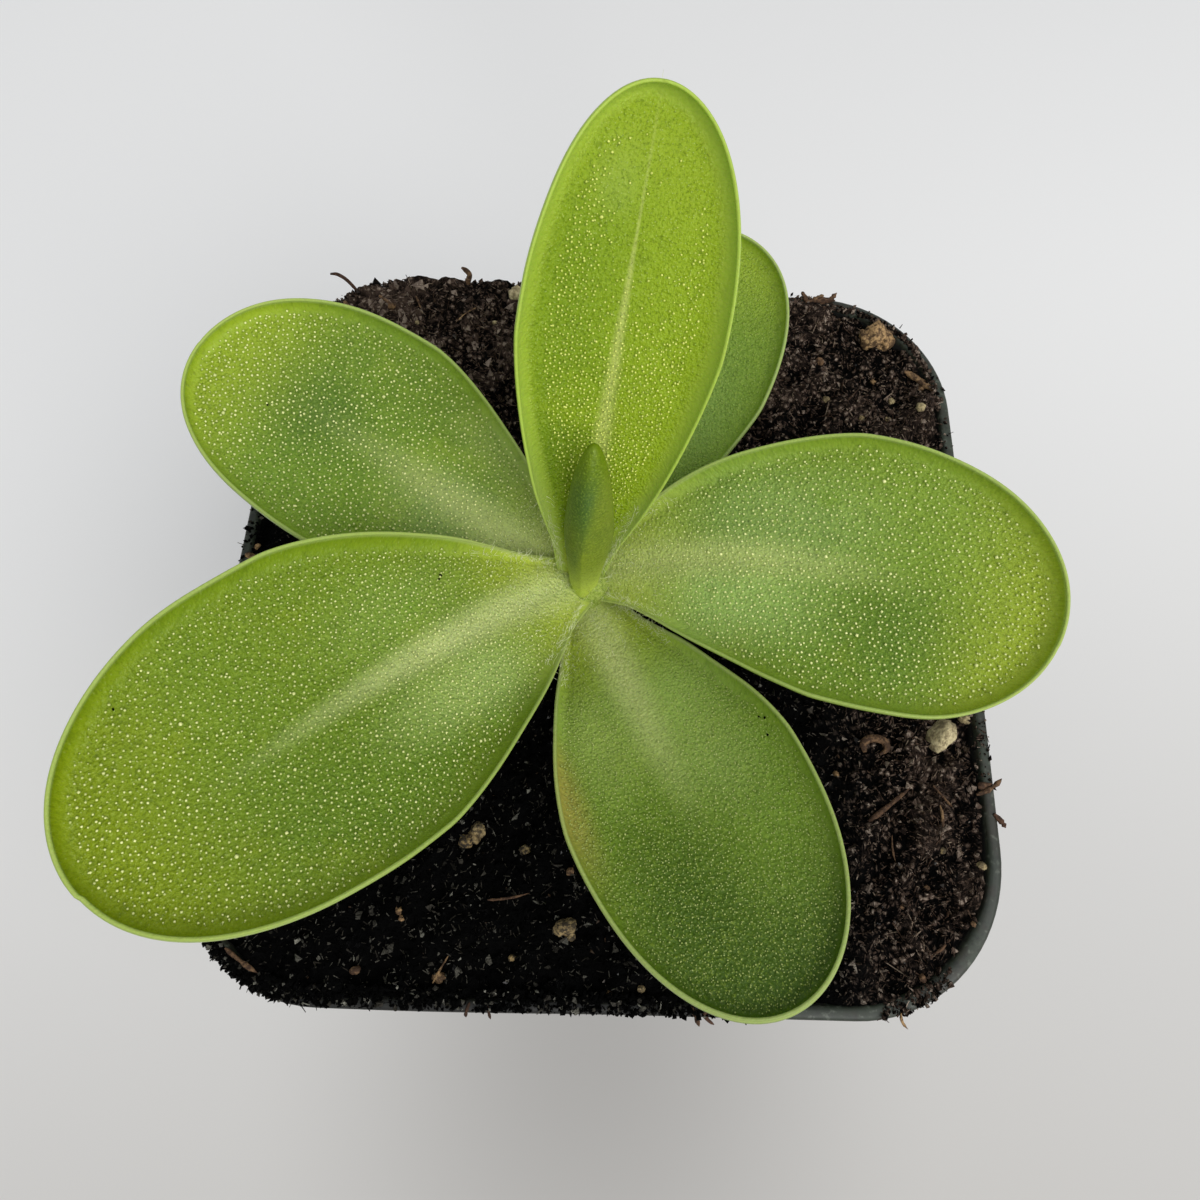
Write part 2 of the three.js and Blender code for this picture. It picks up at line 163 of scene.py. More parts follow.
# Each leaf: its foot from the pot's axis at the rim's height, its size, the way it points, how it
# rises, sweeps, rolls and twists, how narrow its foot is and how deep its trough. lip is its lip's
# size, widest the share of the length where it is widest, and point how blunt its tip is.
# Then its colours: left and right of the midrib, in the blade's paler patches, at the tip, foot and
# lip's edge, underneath and along the midrib. They hold painted light and shade as well as the leaf's
# own tones: parts and sides of a blade that lie in shade are painted darker, and those that catch the
# light painted lighter. parting is where left and right meet, at the foot and at the tip, and how
# softly, and below is how strongly the underside's colour shows. The midrib's pale band has a half
# width at the foot and at the tip, the share of the length where it ends, and a strength. Spots are
# soft ovals of painted sheen, painted shade and tint: x along the leaf, y to its left, half sizes,
# colour and strength. The pale grey-green ones are painted sheen, the dark ones painted shade.
# edge_from is the share of the lip past which it pales to its edge's colour, which is partly the
# margin's own pale edge and partly a painted highlight, and crease how strongly the lip is painted
# lighter yellow from its fold on, as painted light against the shade in the fold. The glands have a
# spacing, a size, and a share of how pale their heads are, which is partly their own colour and partly
# a painted glint. stray is how far they are from even rows, bead their colour, and clear and bare take
# the place of GLAND_CLEAR and GLAND_BARE.
LEAVES = [
    dict(name="leaf_back_right", slot="old_leaf", foot=(-2.0, 3.4, 0.0), length=44.8, width=22.9,
         azimuth=67, rise=24, fall=12, sweep=-2, roll=1, twist=2, base=0.18, trough=0.19, lip=0.85,
         left="#7d9e3c", right="#7f9f33", patch="#8fad39", tip="#9ab433", heel="#b4cc66",
         edge="#b2c47c", under="#86a046", vein="#a3b478", band=(1.5, 0.5, 0.6, 0.3),
         spots=[(20, -4, 13, 7, "#8eaf58", 0.6)],
         pitch=0.9, gland=0.6, paleness_and_painted_glint=0.25),
    dict(name="leaf_front", slot="old_leaf", foot=(-1.6, -2.2, 0.6), length=48.1, width=23.7,
         azimuth=293.5, rise=30, fall=17, sweep=6, roll=0, twist=0, base=0.23, trough=0.19, lip=0.8,
         left="#76962c", right="#729126", patch="#7c962c", tip="#436010", heel="#b4c83e",
         edge="#aebf70", under="#7c9030", vein="#d8e294", band=(2.0, 0.8, 0.7, 0.8),
         spots=[(17, 3, 12, 8, "#aecb64", 0.75), (26, 5, 7, 5, "#93ad54", 0.5),
                (17, -6, 10, 5, "#a8c25c", 0.75), (37, -4, 11, 8, "#43620a", 0.8),
                (22, -11.0, 11, 2.8, "#bcaa56", 0.7)],
         pitch=0.46, gland=0.55, paleness_and_painted_glint=0.4, stray=0.34),
    dict(name="leaf_left", slot="open_leaf", foot=(-4.5, 1.5, 1.2), length=48.0, width=25.8,
         azimuth=155, rise=32, fall=12, sweep=-1, roll=-1, twist=-2, base=0.2, trough=0.18, lip=0.9,
         left="#799b2e", right="#709028", patch="#89a532", tip="#a2ba30", heel="#b2c26a",
         edge="#aec26c", under="#7c9438", vein="#b8c27c", band=(2.4, 0.9, 0.8, 0.6),
         spots=[(35, 0, 10, 6.5, "#4e7026", 0.58), (15, 2, 11, 7, "#98ae6c", 0.5),
                (8, 3.5, 6, 4, "#c0d486", 0.75), (14, -8, 9, 4, "#a4bc62", 0.6)],
         pitch=0.66, gland=0.96, paleness_and_painted_glint=1.05),
    dict(name="leaf_right", slot="open_leaf", foot=(-0.2, 2.1, 2.2), length=50.7, width=27.9,
         azimuth=0.4, rise=42, fall=-10, sweep=-27.6, roll=5.5, twist=7, base=0.18, trough=0.19,
         left="#86a434", right="#76982c", patch="#8aa32e", tip="#9aae2c", heel="#c6d85e",
         edge="#aec26c", under="#7a9232", vein="#d4e08c", band=(2.2, 1.0, 0.8, 0.7),
         spots=[(21, 4, 14, 8, "#9cbc68", 0.65), (16, -4.5, 15, 7, "#b4d676", 0.85),
                (37, -5, 11, 7, "#5a7c1e", 0.6), (26.4, 7.2, 1.7, 1.5, "#86a836", 0.7)],
         pitch=0.72, gland=0.96, paleness_and_painted_glint=1.05),
    dict(name="leaf_front_left", slot="open_leaf", foot=(-4.1, 0.1, 3.2), length=55.4, width=29.7,
         azimuth=220.3, rise=43, fall=10.5, sweep=9, roll=-7.5, twist=-3, base=0.17, trough=0.2,
         left="#6b8b1d", right="#77931c", patch="#82991a", tip="#889c0e", heel="#b8ca44",
         edge="#aec26a", under="#7a922c", vein="#dce89c", band=(2.1, 0.5, 0.85, 0.75),
         spots=[(21, -5, 12, 6, "#90af4c", 0.55), (19, 5.0, 13, 5, "#b2cc70", 0.85),
                (20.9, -4.7, 1.5, 1.2, "#7aa02c", 0.6), (20.6, 9.4, 1.6, 1.4, "#86a838", 0.6),
                (39.6, 11.1, 1.4, 1.2, "#7f9c22", 0.6)],
         pitch=0.63, gland=0.82, paleness_and_painted_glint=0.95),
    dict(name="leaf_back", slot="young_leaf", foot=(-2.9, 1.8, 4.0), length=52.7, width=20.1,
         azimuth=76.2, rise=63, fall=38, sweep=3.5, roll=9, twist=8, base=0.2, trough=0.23,
         left="#82a012", right="#9ab61c", patch="#98b318", tip="#9bb522", heel="#84a00c",
         edge="#b4ce5c", under="#86a236", vein="#c8d470", band=(1.2, 0.12, 1.12, 0.8),
         bead="#faff90", edge_from=0.0, crease=0.3,
         spots=[(45, 2.5, 5, 3, "#a8c25c", 0.5), (15, 6, 10, 5, "#64820c", 0.5)],
         pitch=0.56, gland=0.88, paleness_and_painted_glint=1.0, bare=0.62, clear=0.6),
    # The centre leaf is folded: its darker right half and the dark oval by its parting are painted
    # shade of the fold.
    dict(name="leaf_centre", slot="young_leaf", foot=(-2.6, -0.8, 4.4), length=22.5, width=5.5,
         azimuth=261, rise=97, fall=128, sweep=0, roll=0, twist=0, base=0.5, trough=0.8,
         lip=0.35, widest=0.39, point=1.55, parting=(-1.3, 1.5, 0.5),
         left="#84942c", right="#5e762e", patch="#6c7e2c", tip="#6c840e", heel="#a8b84e",
         edge="#98aa58", under="#7f9a3c", vein="#8fa65a", band=(0.3, 0.3, 0.3, 0.1), below=0.0,
         spots=[(16.5, -0.4, 7.3, 2.0, "#4a6a2f", 0.7)], pitch=0.8, gland=0.5, paleness_and_painted_glint=0.3),
]

# ---------------------------------------------------------------- numbers and noise


def smooth(x, low=0.0, high=1.0):
    """0 below low, 1 above high, and an S-shaped rise between them."""
    s = np.clip((x - low) / (high - low), 0, 1)
    return s * s * (3 - 2 * s)


def noise(x, y, cell, seed):
    """Smooth noise from -1 to 1: a random value at each corner of a square lattice with this cell
    size, blended between the four corners around a point by S-shaped shares."""
    size = 128
    table = np.random.default_rng(seed).uniform(-1, 1, (size, size))
    gx, gy = x / cell, y / cell
    ix, iy = np.floor(gx).astype(int), np.floor(gy).astype(int)
    sx, sy = smooth(gx - ix), smooth(gy - iy)
    low = table[ix % size, iy % size] * (1 - sx) + table[(ix + 1) % size, iy % size] * sx
    high = table[ix % size, (iy + 1) % size] * (1 - sx) + table[(ix + 1) % size, (iy + 1) % size] * sx
    return low * (1 - sy) + high * sy


def unit(v):
    """Vectors at length one."""
    return v / np.maximum(np.linalg.norm(v, axis=-1, keepdims=True), 1e-9)


def random_turns(rng, count):
    """Turn matrices drawn evenly from all turns, from unit quaternions."""
    w, x, y, z = unit(rng.normal(size=(count, 4))).T
    return np.stack([
        1 - 2 * (y * y + z * z), 2 * (x * y - w * z), 2 * (x * z + w * y),
        2 * (x * y + w * z), 1 - 2 * (x * x + z * z), 2 * (y * z - w * x),
        2 * (x * z - w * y), 2 * (y * z + w * x), 1 - 2 * (x * x + y * y),
    ], -1).reshape(count, 3, 3)


# ---------------------------------------------------------------- meshes


def mesh_piece(name, points, faces, material, replaces=None, fields=None, rounded=True):
    """One finished piece from points in millimetres and a list of face arrays, each of them faces
    by corners. fields are numbers or vectors, one for each point, kept as attributes."""
    mesh = bpy.data.meshes.new(name)
    corners = np.concatenate([f.ravel() for f in faces]).astype(np.int32)
    totals = np.concatenate([np.full(len(f), f.shape[1]) for f in faces])
    starts = np.concatenate([[0], np.cumsum(totals)[:-1]]).astype(np.int32)
    mesh.vertices.add(len(points))
    mesh.vertices.foreach_set("co", (points * MM).astype(np.float32).ravel())
    mesh.loops.add(len(corners))
    mesh.loops.foreach_set("vertex_index", corners)
    mesh.polygons.add(len(starts))
    mesh.polygons.foreach_set("loop_start", starts)
    mesh.polygons.foreach_set("use_smooth", np.full(len(starts), rounded))
    for key, values in (fields or {}).items():
        kind = "FLOAT" if values.ndim == 1 else "FLOAT_VECTOR"
        field = mesh.attributes.new(key, kind, "POINT")
        member = "value" if values.ndim == 1 else "vector"
        field.data.foreach_set(member, values.astype(np.float32).ravel())
    mesh.update(calc_edges=True)
    mesh.materials.append(material)
    piece = bpy.data.objects.new(name, mesh)
    bpy.context.scene.collection.objects.link(piece)
    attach(piece, "root")
    if replaces:
        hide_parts(replaces)
    return piece


def grid_faces(index):
    """Four-sided faces between neighbours of a grid of point numbers."""
    return np.stack([index[:-1, :-1], index[1:, :-1], index[1:, 1:], index[:-1, 1:]],
                    -1).reshape(-1, 4)


def closed_grid(index):
    """A grid of point numbers whose last row joins its first."""
    return np.vstack([index, index[:1]])


def fan_faces(ring, middle):
    """Triangles from a closed ring of point numbers to one middle point."""
    return np.stack([ring, np.roll(ring, -1), np.full(len(ring), middle)], -1)


def capped_faces(index):
    """Faces between rings of point numbers, from the lowest up. Both ends are closed by triangles
    to two more points, which come after the rings: the lower middle and then the upper."""
    return [grid_faces(closed_grid(index.T))[:, ::-1], fan_faces(index[0][::-1], index.size),
            fan_faces(index[-1], index.size + 1)]


def repeated(faces, count, stride):
    """The faces of one shape, repeated for each copy, whose points come a stride apart."""
    return (faces[None] + stride * np.arange(count)[:, None, None]).reshape(-1, faces.shape[1])


def spread(values, points):
    """One value for each copy of a shape, repeated for each of the copy's points."""
    return np.repeat(values, len(points) // len(values))


def ball_shape(sides, rings):
    """A ball of radius one: rings of latitude between two poles, as points and faces."""
    polar = np.pi * np.arange(1, rings) / rings
    around = 2 * np.pi * np.arange(sides) / sides
    band = np.stack([
        np.sin(polar)[:, None] * np.cos(around), np.sin(polar)[:, None] * np.sin(around),
        np.repeat(np.cos(polar)[:, None], sides, 1)], -1).reshape(-1, 3)
    points = np.vstack([band, [[0, 0, 1], [0, 0, -1]]])
    index = np.arange((rings - 1) * sides).reshape(rings - 1, sides)
    sheet = grid_faces(closed_grid(index.T)[:, ::-1])
    top = fan_faces(index[0], len(band))
    bottom = fan_faces(index[-1][::-1], len(band) + 1)
    return points, [sheet, np.vstack([top, bottom])]


def turned_copies(rng, shapes, centres, faces):
    """Shapes that share their faces, each turned at random and carried to its centre."""
    count, corners, _ = shapes.shape
    turned = np.einsum("nij,nvj->nvi", random_turns(rng, count), shapes)
    placed = (turned + centres[:, None, :]).reshape(-1, 3)
    return placed, [repeated(f, count, corners) for f in faces if len(f)]


def scattered_balls(rng, centres, sizes, sides, rings, ragged):
    """Many uneven balls: each point of a ball is drawn in or out by a random share up to ragged,
    stretched by the three half sizes, turned, and carried to its centre."""
    points, faces = ball_shape(sides, rings)
    bulge = 1 + ragged * rng.uniform(-1, 1, (len(centres), len(points), 1))
    return turned_copies(rng, points * bulge * sizes[:, None, :], centres, faces)


def lumpy_balls(rng, centres, sizes, sides, rings, ragged):
    """Balls with soft lumps: each point is moved in or out by the mean of six sine waves that run
    every way through the ball and a little at random, stretched by the three half sizes, turned,
    and carried to its centre."""
    points, faces = ball_shape(sides, rings)
    count = len(centres)
    waves = rng.normal(0, 3.6, (count, 6, 3))
    phase = rng.uniform(0, 2 * np.pi, (count, 1, 6))
    swell = np.sin(np.einsum("vi,nwi->nvw", points, waves) + phase).mean(-1, keepdims=True)
    bulge = 1 + ragged * swell
    bulge = bulge + 0.07 * rng.uniform(-1, 1, bulge.shape)
    return turned_copies(rng, points * bulge * sizes[:, None, :], centres, faces)


def tubes(paths, radii, sides):
    """Many round tubes at once. paths holds tubes by steps by three, radii tubes by steps. Each
    step's ring is a circle square to the path there, and both ends are closed by one flat face."""
    count, steps = radii.shape
    ahead = unit(np.gradient(paths, axis=1))
    guide = np.where(np.abs(ahead[:, :1, 2:]) < 0.8, [[[0.0, 0, 1]]], [[[1.0, 0, 0]]])
    across = unit(np.cross(ahead, guide))
    over = np.cross(ahead, across)
    around = 2 * np.pi * np.arange(sides)[:, None] / sides
    circle = np.cos(around) * across[:, :, None] + np.sin(around) * over[:, :, None]
    points = (paths[:, :, None] + radii[:, :, None, None] * circle).reshape(-1, 3)
    index = np.arange(steps * sides).reshape(steps, sides)
    wall = grid_faces(closed_grid(index.T))
    ends = np.stack([index[0], index[-1][::-1]])
    return points, [repeated(wall, count, steps * sides), repeated(ends, count, steps * sides)]


def spikes(feet, tips, radii):
    """Three-sided spikes, each from a ring about its foot to one point, closed by a flat base."""
    ahead = unit(tips - feet)
    guide = np.where(np.abs(ahead[:, 2:]) < 0.8, [[0.0, 0, 1]], [[1.0, 0, 0]])
    across = unit(np.cross(ahead, guide))[:, None]
    over = np.cross(ahead[:, None], across)
    around = 2 * np.pi * np.arange(3)[:, None] / 3
    rings = feet[:, None] + radii[:, None, None] * (np.cos(around) * across + np.sin(around) * over)
    points = np.concatenate([rings, tips[:, None]], 1).reshape(-1, 3)
    sides = np.array([[0, 1, 3], [1, 2, 3], [2, 0, 3], [2, 1, 0]])
    return points, [repeated(sides, len(feet), 4)]


def joined(parts):
    """Several (points, faces, tint) groups as one, with a tint for each point."""
    points, faces, tints, start = [], [], [], 0
    for part_points, part_faces, tint in parts:
        points.append(part_points)
        faces.extend(f + start for f in part_faces)
        tints.append(np.broadcast_to(tint, len(part_points)))
        start += len(part_points)
    return np.vstack(points), faces, np.concatenate(tints)


# ---------------------------------------------------------------- materials

SMOOTH_STEP = {"interpolation_type": "SMOOTHSTEP"}
TIMES = {"operation": "MULTIPLY"}
TINT = {"attribute_name": "tint"}


def linear(hex_colour):
    """An sRGB hex colour as linear red, green, blue and alpha."""
    parts = [int(hex_colour[i:i + 2], 16) / 255 for i in (1, 3, 5)]
    return [c / 12.92 if c <= 0.04045 else ((c + 0.055) / 1.055) ** 2.4 for c in parts] + [1.0]


def add(tree, kind, settings=None, **inputs):
    """Adds a node. settings are its properties; inputs are its sockets by name, with _ for a
    space or i0, i1 for a place in the list. Each is given a number, a hex colour, or what it is
    linked from: an output, or a node, whose first output in use it takes."""
    made = tree.nodes.new("ShaderNode" + kind)
    for key, value in (settings or {}).items():
        setattr(made, key, value)
    for key, value in inputs.items():
        plain = key[0] == "i" and key[1:].isdigit()
        socket = made.inputs[int(key[1:])] if plain else made.inputs[key.replace("_", " ")]
        if isinstance(value, bpy.types.Node):
            value = next(output for output in value.outputs if output.enabled)
        if isinstance(value, bpy.types.NodeSocket):
            tree.links.new(value, socket)
        else:
            socket.default_value = linear(value) if isinstance(value, str) else value
    return made


def coats(tree, colour, layers):
    """A colour with others laid over it in turn. A layer is its colour and its share. Or it is its
    colour, a value, two limits between which the share changes in an S-shape, the share at each of
    them, and masks that the share is multiplied by."""
    for over, share, *limits in layers:
        if limits:
            low, high, share_low, share_high, *masks = limits
            share = add(tree, "MapRange", SMOOTH_STEP, Value=share, i1=low, i2=high, i3=share_low,
                        i4=share_high)
            for mask in masks:
                share = add(tree, "Math", TIMES, i0=share, i1=mask)
        colour = add(tree, "Mix", {"data_type": "RGBA"}, i0=share, i6=colour, i7=over)
    return colour


def empty_material(name):
    """A material without nodes, and its tree."""
    made = bpy.data.materials.new(name)
    made.use_nodes = True
    made.node_tree.nodes.clear()
    return made, made.node_tree


def finished(made, **shader):
    """The material, with a Principled shader that has these sockets."""
    principled = add(made.node_tree, "BsdfPrincipled", **shader)
    add(made.node_tree, "OutputMaterial", Surface=principled)
    return made


def halves(tree, leaf, flat, along):
    """The blade's colour on either side of its midrib, or of a parting that slants from one place at
    the foot to another at the tip. The two sides differ partly in their own tone and partly as painted
    light and shade: the side in shade is painted darker."""
    at_foot, at_tip, soft = leaf.get("parting", (0.0, 0.0, 0.3 * leaf["width"]))
    across = add(tree, "SeparateXYZ", Vector=flat).outputs["Y"]
    parting = add(tree, "MapRange", Value=along, i3=at_foot, i4=at_tip)
    past = add(tree, "Math", {"operation": "SUBTRACT"}, i0=across, i1=parting)
    return coats(tree, leaf["right"], [(leaf["left"], past, -soft, soft, 0.0, 1.0)])


def midrib_band(tree, leaf, flat, along):
    """The share of the midrib's pale colour: full on the midrib and gone at twice the band's half
    width, which narrows along the leaf."""
    at_foot, at_tip, end, strength = leaf["band"]
    across = add(tree, "SeparateXYZ", Vector=flat).outputs["Y"]
    away = add(tree, "Math", {"operation": "ABSOLUTE"}, i0=across)
    half = add(tree, "MapRange", Value=along, i1=0.05, i2=0.75, i3=at_foot, i4=at_tip)
    share = add(tree, "Math", {"operation": "DIVIDE"}, i0=away, i1=half)
    near = add(tree, "MapRange", SMOOTH_STEP, Value=share, i1=0.0, i2=2.1, i3=1.0, i4=0.0)
    fade = add(tree, "MapRange", SMOOTH_STEP, Value=along, i1=end - 0.55, i2=end, i3=strength, i4=0.0)
    return add(tree, "Math", TIMES, i0=near, i1=fade)


def in_spot(tree, flat, spot):
    """The share of a soft oval on the blade: full in its middle and gone past its half sizes."""
    x, y, half_x, half_y, _, strength = spot
    inside = add(tree, "Mapping", Vector=flat, Location=(-x / half_x, -y / half_y, 0),
                 Scale=(1 / half_x, 1 / half_y, 0))
    away = add(tree, "VectorMath", {"operation": "LENGTH"}, i0=inside)
    return add(tree, "MapRange", SMOOTH_STEP, Value=away, i1=0.1, i2=1.2, i3=strength, i4=0.0)


def leaf_epidermis(leaf):
    """Living leaf skin: a thin moist cuticle over water-filled green tissue. It looks soft and satin
    and lets some light through. Bladder cells and stalkless glands, three to a millimetre, speckle it
    light and dark and catch the light. The tip and margins are yellower and the midrib is a pale band.
    The sides of the blade carry painted light and shade, ovals of painted sheen grey parts of the
    blade, and ovals of painted shade darken others. The lip has a thin pale edge, whitish near the
    foot, which is partly painted highlight, and where a leaf asks for it the lip is painted lighter
    yellow from its fold on, as painted light against the shade in the fold."""
    made, tree = empty_material(leaf["name"] + "_epidermis")
    flat = add(tree, "Attribute", {"attribute_name": "flat"}).outputs["Vector"]
    along, curl, upper, inward = [add(tree, "Attribute", {"attribute_name": name}).outputs["Fac"]
                                  for name in ("along", "curl", "upper", "inward")]
    patches = add(tree, "TexNoise", Vector=flat, Scale=0.15, Detail=3.0, Roughness=0.6)
    mottle = add(tree, "TexNoise", Vector=flat, Scale=0.9, Detail=3.0, Roughness=0.7)
    cells = add(tree, "TexVoronoi", Vector=flat, Scale=3.0, Randomness=0.95)
    grain = add(tree, "TexNoise", Vector=flat, Scale=4.2, Detail=2.0, Roughness=0.75)
    band = midrib_band(tree, leaf, flat, along)
    on_blade = add(tree, "MapRange", SMOOTH_STEP, Value=curl, i1=0.1, i2=0.5, i3=1.0, i4=0.4)
    under = coats(tree, leaf["under"], [
        (leaf["left"], mottle, 0.35, 0.7, 0.0, 0.5),
        (leaf["vein"], band),
    ])
    edge = coats(tree, leaf["edge"], [("#b0a898", along, 0.4, 0.12, 0.0, 0.2)])
    colour = coats(tree, halves(tree, leaf, flat, along), [
        (leaf["patch"], patches, 0.48, 0.68, 0.0, 0.8),
        (leaf["patch"], inward, 0.5, 4.0, 0.4, 0.0),
        # Ovals of painted sheen and painted shade, and a few of the leaf's own tint.
        *[(spot[4], in_spot(tree, flat, spot)) for spot in leaf["spots"]],
        (leaf["tip"], along, 0.7, 0.97, 0.0, 1.0),
        (leaf["heel"], along, 0.32, 0.04, 0.0, 1.0),
        ("#c9da58", along, 0.16, 0.02, 0.0, 0.6),
        (leaf["vein"], band),
        ("#33500f", mottle, 0.5, 0.75, 0.0, 0.22),
        ("#2c470a", grain, 0.5, 0.3, 0.0, 0.38, on_blade),
        ("#b8cd58", grain, 0.52, 0.72, 0.0, 0.4, on_blade),
        ("#cfe28c", cells, 0.08, 0.26, 0.4, 0.0, on_blade, upper),
        (under, upper, 0.4, 0.1, 0.0, leaf.get("below", 0.85)),
        # Painted light: the lip lighter yellow from its fold on, against the shade in the fold.
        ("#b0c83e", curl, 0.0, 0.3, 0.0, leaf.get("crease", 0.0)),
        # The lip's pale edge: partly its own colour, partly a painted highlight.
        (edge, curl, leaf.get("edge_from", 0.8), 1.0, 0.0, 0.7),
    ])
    rough = add(tree, "MapRange", SMOOTH_STEP, Value=grain, i1=0.3, i2=0.7, i3=0.5, i4=0.26)
    height = add(tree, "Math", {"operation": "MULTIPLY_ADD"}, i0=cells, i1=-0.7, i2=grain)
    above = add(tree, "MapRange", SMOOTH_STEP, Value=upper, i1=0.0, i2=1.0, i3=0.3, i4=1.0)
    strength = add(tree, "Math", TIMES, i0=above, i1=on_blade)
    height = add(tree, "Math", TIMES, i0=height, i1=strength)
    bump = add(tree, "Bump", Strength=0.85, Distance=0.00026, Height=height)
    return finished(made, Base_Color=colour, Roughness=rough, Normal=bump, IOR=1.42,
                    Specular_IOR_Level=0.35, Subsurface_Weight=0.15,
                    Subsurface_Radius=(0.6, 1.0, 0.2), Subsurface_Scale=0.001)


def gland_mucilage(leaf):
    """A bead of clear sticky mucilage on each stalked gland: wet, so that it glints, over a pale
    yellow-green head. How far a head is tinted from the leaf's green to the bead's colour is partly its
    own paleness and partly a painted glint; the stalk starts from the leaf's own green and is tinted
    nearly as far."""
    made, tree = empty_material(leaf["name"] + "_mucilage")
    tint = add(tree, "Attribute", TINT).outputs["Fac"]
    colour = coats(tree, leaf["patch"], [(leaf.get("bead", "#fbffb4"), tint)])
    return finished(made, Base_Color=colour, IOR=1.36, Roughness=0.12)


def leaf_hair():
    """Fine pale hairs at the leaf bases: hollow cells that scatter light to a yellowish white."""
    made, tree = empty_material("leaf_hair")
    tint = add(tree, "Attribute", TINT).outputs["Fac"]
    colour = coats(tree, "#d4e27c", [("#f9fcd8", tint)])
    return finished(made, Base_Color=colour, IOR=1.45, Roughness=0.35)


def crown_tissue():
    """The crown's pale yellow-green stem tissue: moist, satin and slightly mottled."""
    made, tree = empty_material("crown_tissue")
    place = add(tree, "TexCoord").outputs["Object"]
    mottle = add(tree, "TexNoise", Vector=place, Scale=2200.0, Detail=3.0, Roughness=0.7)
    colour = coats(tree, "#7c9230", [("#b9c96a", mottle, 0.3, 0.7, 0.0, 1.0)])
    bump = add(tree, "Bump", Strength=0.5, Distance=0.0001, Height=mottle)
    return finished(made, Base_Color=colour, Normal=bump, IOR=1.42, Roughness=0.45,
                    Specular_IOR_Level=0.35, Subsurface_Weight=0.2,
                    Subsurface_Radius=(0.6, 1.0, 0.3), Subsurface_Scale=0.0012)


def strands(tree, place):
    """Short fibres lying every way: noise drawn out to a millimetre by a fifth of one, turned about
    the upright by a random angle in each patch of a millimetre and a half."""
    patch = add(tree, "TexVoronoi", Vector=place, Scale=650.0)
    shade = add(tree, "SeparateColor", Color=patch.outputs["Color"])
    angle = add(tree, "Math", TIMES, i0=shade, i1=6.28)
    turned = add(tree, "VectorRotate", {"rotation_type": "Z_AXIS"}, Vector=place, Angle=angle)
    drawn = add(tree, "VectorMath", TIMES, i0=turned, i1=(1000.0, 5200.0, 2600.0))
    return add(tree, "TexNoise", Vector=drawn, Scale=1.0, Detail=2.0, Roughness=0.6)


def peat(name, darkest, brown, light):
    """Damp sphagnum peat: nearly black humus that drinks light, matted with short strands and broken
    into granules, a few wet and glinting. The borders of the granules are painted black, as painted
    shade in the crevices between them. It is brown along the right wall and at the back, where it is
    dry, and darker towards the front, which is partly damp peat and partly painted shade; its paler
    scraps there are painted grey, as painted reflections of the sky on wet peat."""
    made, tree = empty_material(name)
    place = add(tree, "TexCoord").outputs["Object"]
    tint = add(tree, "Attribute", TINT).outputs["Fac"]
    strand = strands(tree, place)
    granules = add(tree, "TexVoronoi", Vector=place, Scale=1500.0)
    shade = add(tree, "SeparateColor", Color=granules.outputs["Color"])
    across, back, _ = add(tree, "SeparateXYZ", Vector=place).outputs
    # Lighter to the back and right: partly the peat's dryness, partly painted light, with the front
    # painted darker as painted shade.
    at_back = add(tree, "MapRange", SMOOTH_STEP, Value=back, i1=0.0, i2=0.028, i3=0.16, i4=1.0)
    at_right = add(tree, "MapRange", SMOOTH_STEP, Value=across, i1=0.02, i2=0.034, i3=0.16, i4=0.98)
    dryness_and_painted_light = add(tree, "Math", {"operation": "MAXIMUM"}, i0=at_back, i1=at_right)
    # Towards the front its scraps are painted grey instead of brown: painted reflections of the sky on
    # wet peat.
    brown_and_painted_wet_grey = coats(tree, "#383934", [(brown, dryness_and_painted_light)])
    pale_and_painted_wet_grey = coats(tree, "#8e9086", [(light, dryness_and_painted_light)])
    pale_strand = add(tree, "MapRange", SMOOTH_STEP, Value=strand, i1=0.42, i2=0.76, i3=0.0, i4=1.0)
    pale_granule = add(tree, "MapRange", SMOOTH_STEP, Value=shade, i1=0.6, i2=1.0, i3=0.0, i4=0.7)
    # Painted shade: the borders of the granules painted nearly black, for the crevices between them.
    painted_crevice_shade = add(tree, "MapRange", SMOOTH_STEP, Value=granules, i1=0.2, i2=0.6, i3=1.0, i4=0.15)
    pale = add(tree, "Math", {"operation": "ADD"}, i0=pale_strand, i1=pale_granule)
    shown = add(tree, "Math", TIMES, i0=painted_crevice_shade, i1=dryness_and_painted_light)
    pale = add(tree, "Math", {"operation": "MULTIPLY_ADD"}, i0=pale, i1=shown, i2=tint)
    colour = coats(tree, darkest, [
        (brown_and_painted_wet_grey, pale, 0.05, 0.55, 0.0, 1.0),
        (pale_and_painted_wet_grey, pale, 0.5, 1.2, 0.0, 1.0),
    ])
    rough = add(tree, "MapRange", SMOOTH_STEP, Value=shade, i1=0.8, i2=0.92, i3=0.95, i4=0.35)
    height = add(tree, "Math", {"operation": "MULTIPLY_ADD"}, i0=granules, i1=-0.6, i2=strand)
    bump = add(tree, "Bump", Strength=1.0, Distance=0.0008, Height=height)
    return finished(made, Base_Color=colour, Roughness=rough, Normal=bump, IOR=1.4,
                    Specular_IOR_Level=0.1)


def wet_humus():
    """Wet black humus: a film of water over dark crumbs, which catches the light on some sides."""
    made, tree = empty_material("wet_humus")
    tint = add(tree, "Attribute", TINT).outputs["Fac"]
    colour = coats(tree, "#060504", [("#4a3a2c", tint)])
    return finished(made, Base_Color=colour, IOR=1.4, Roughness=0.3)


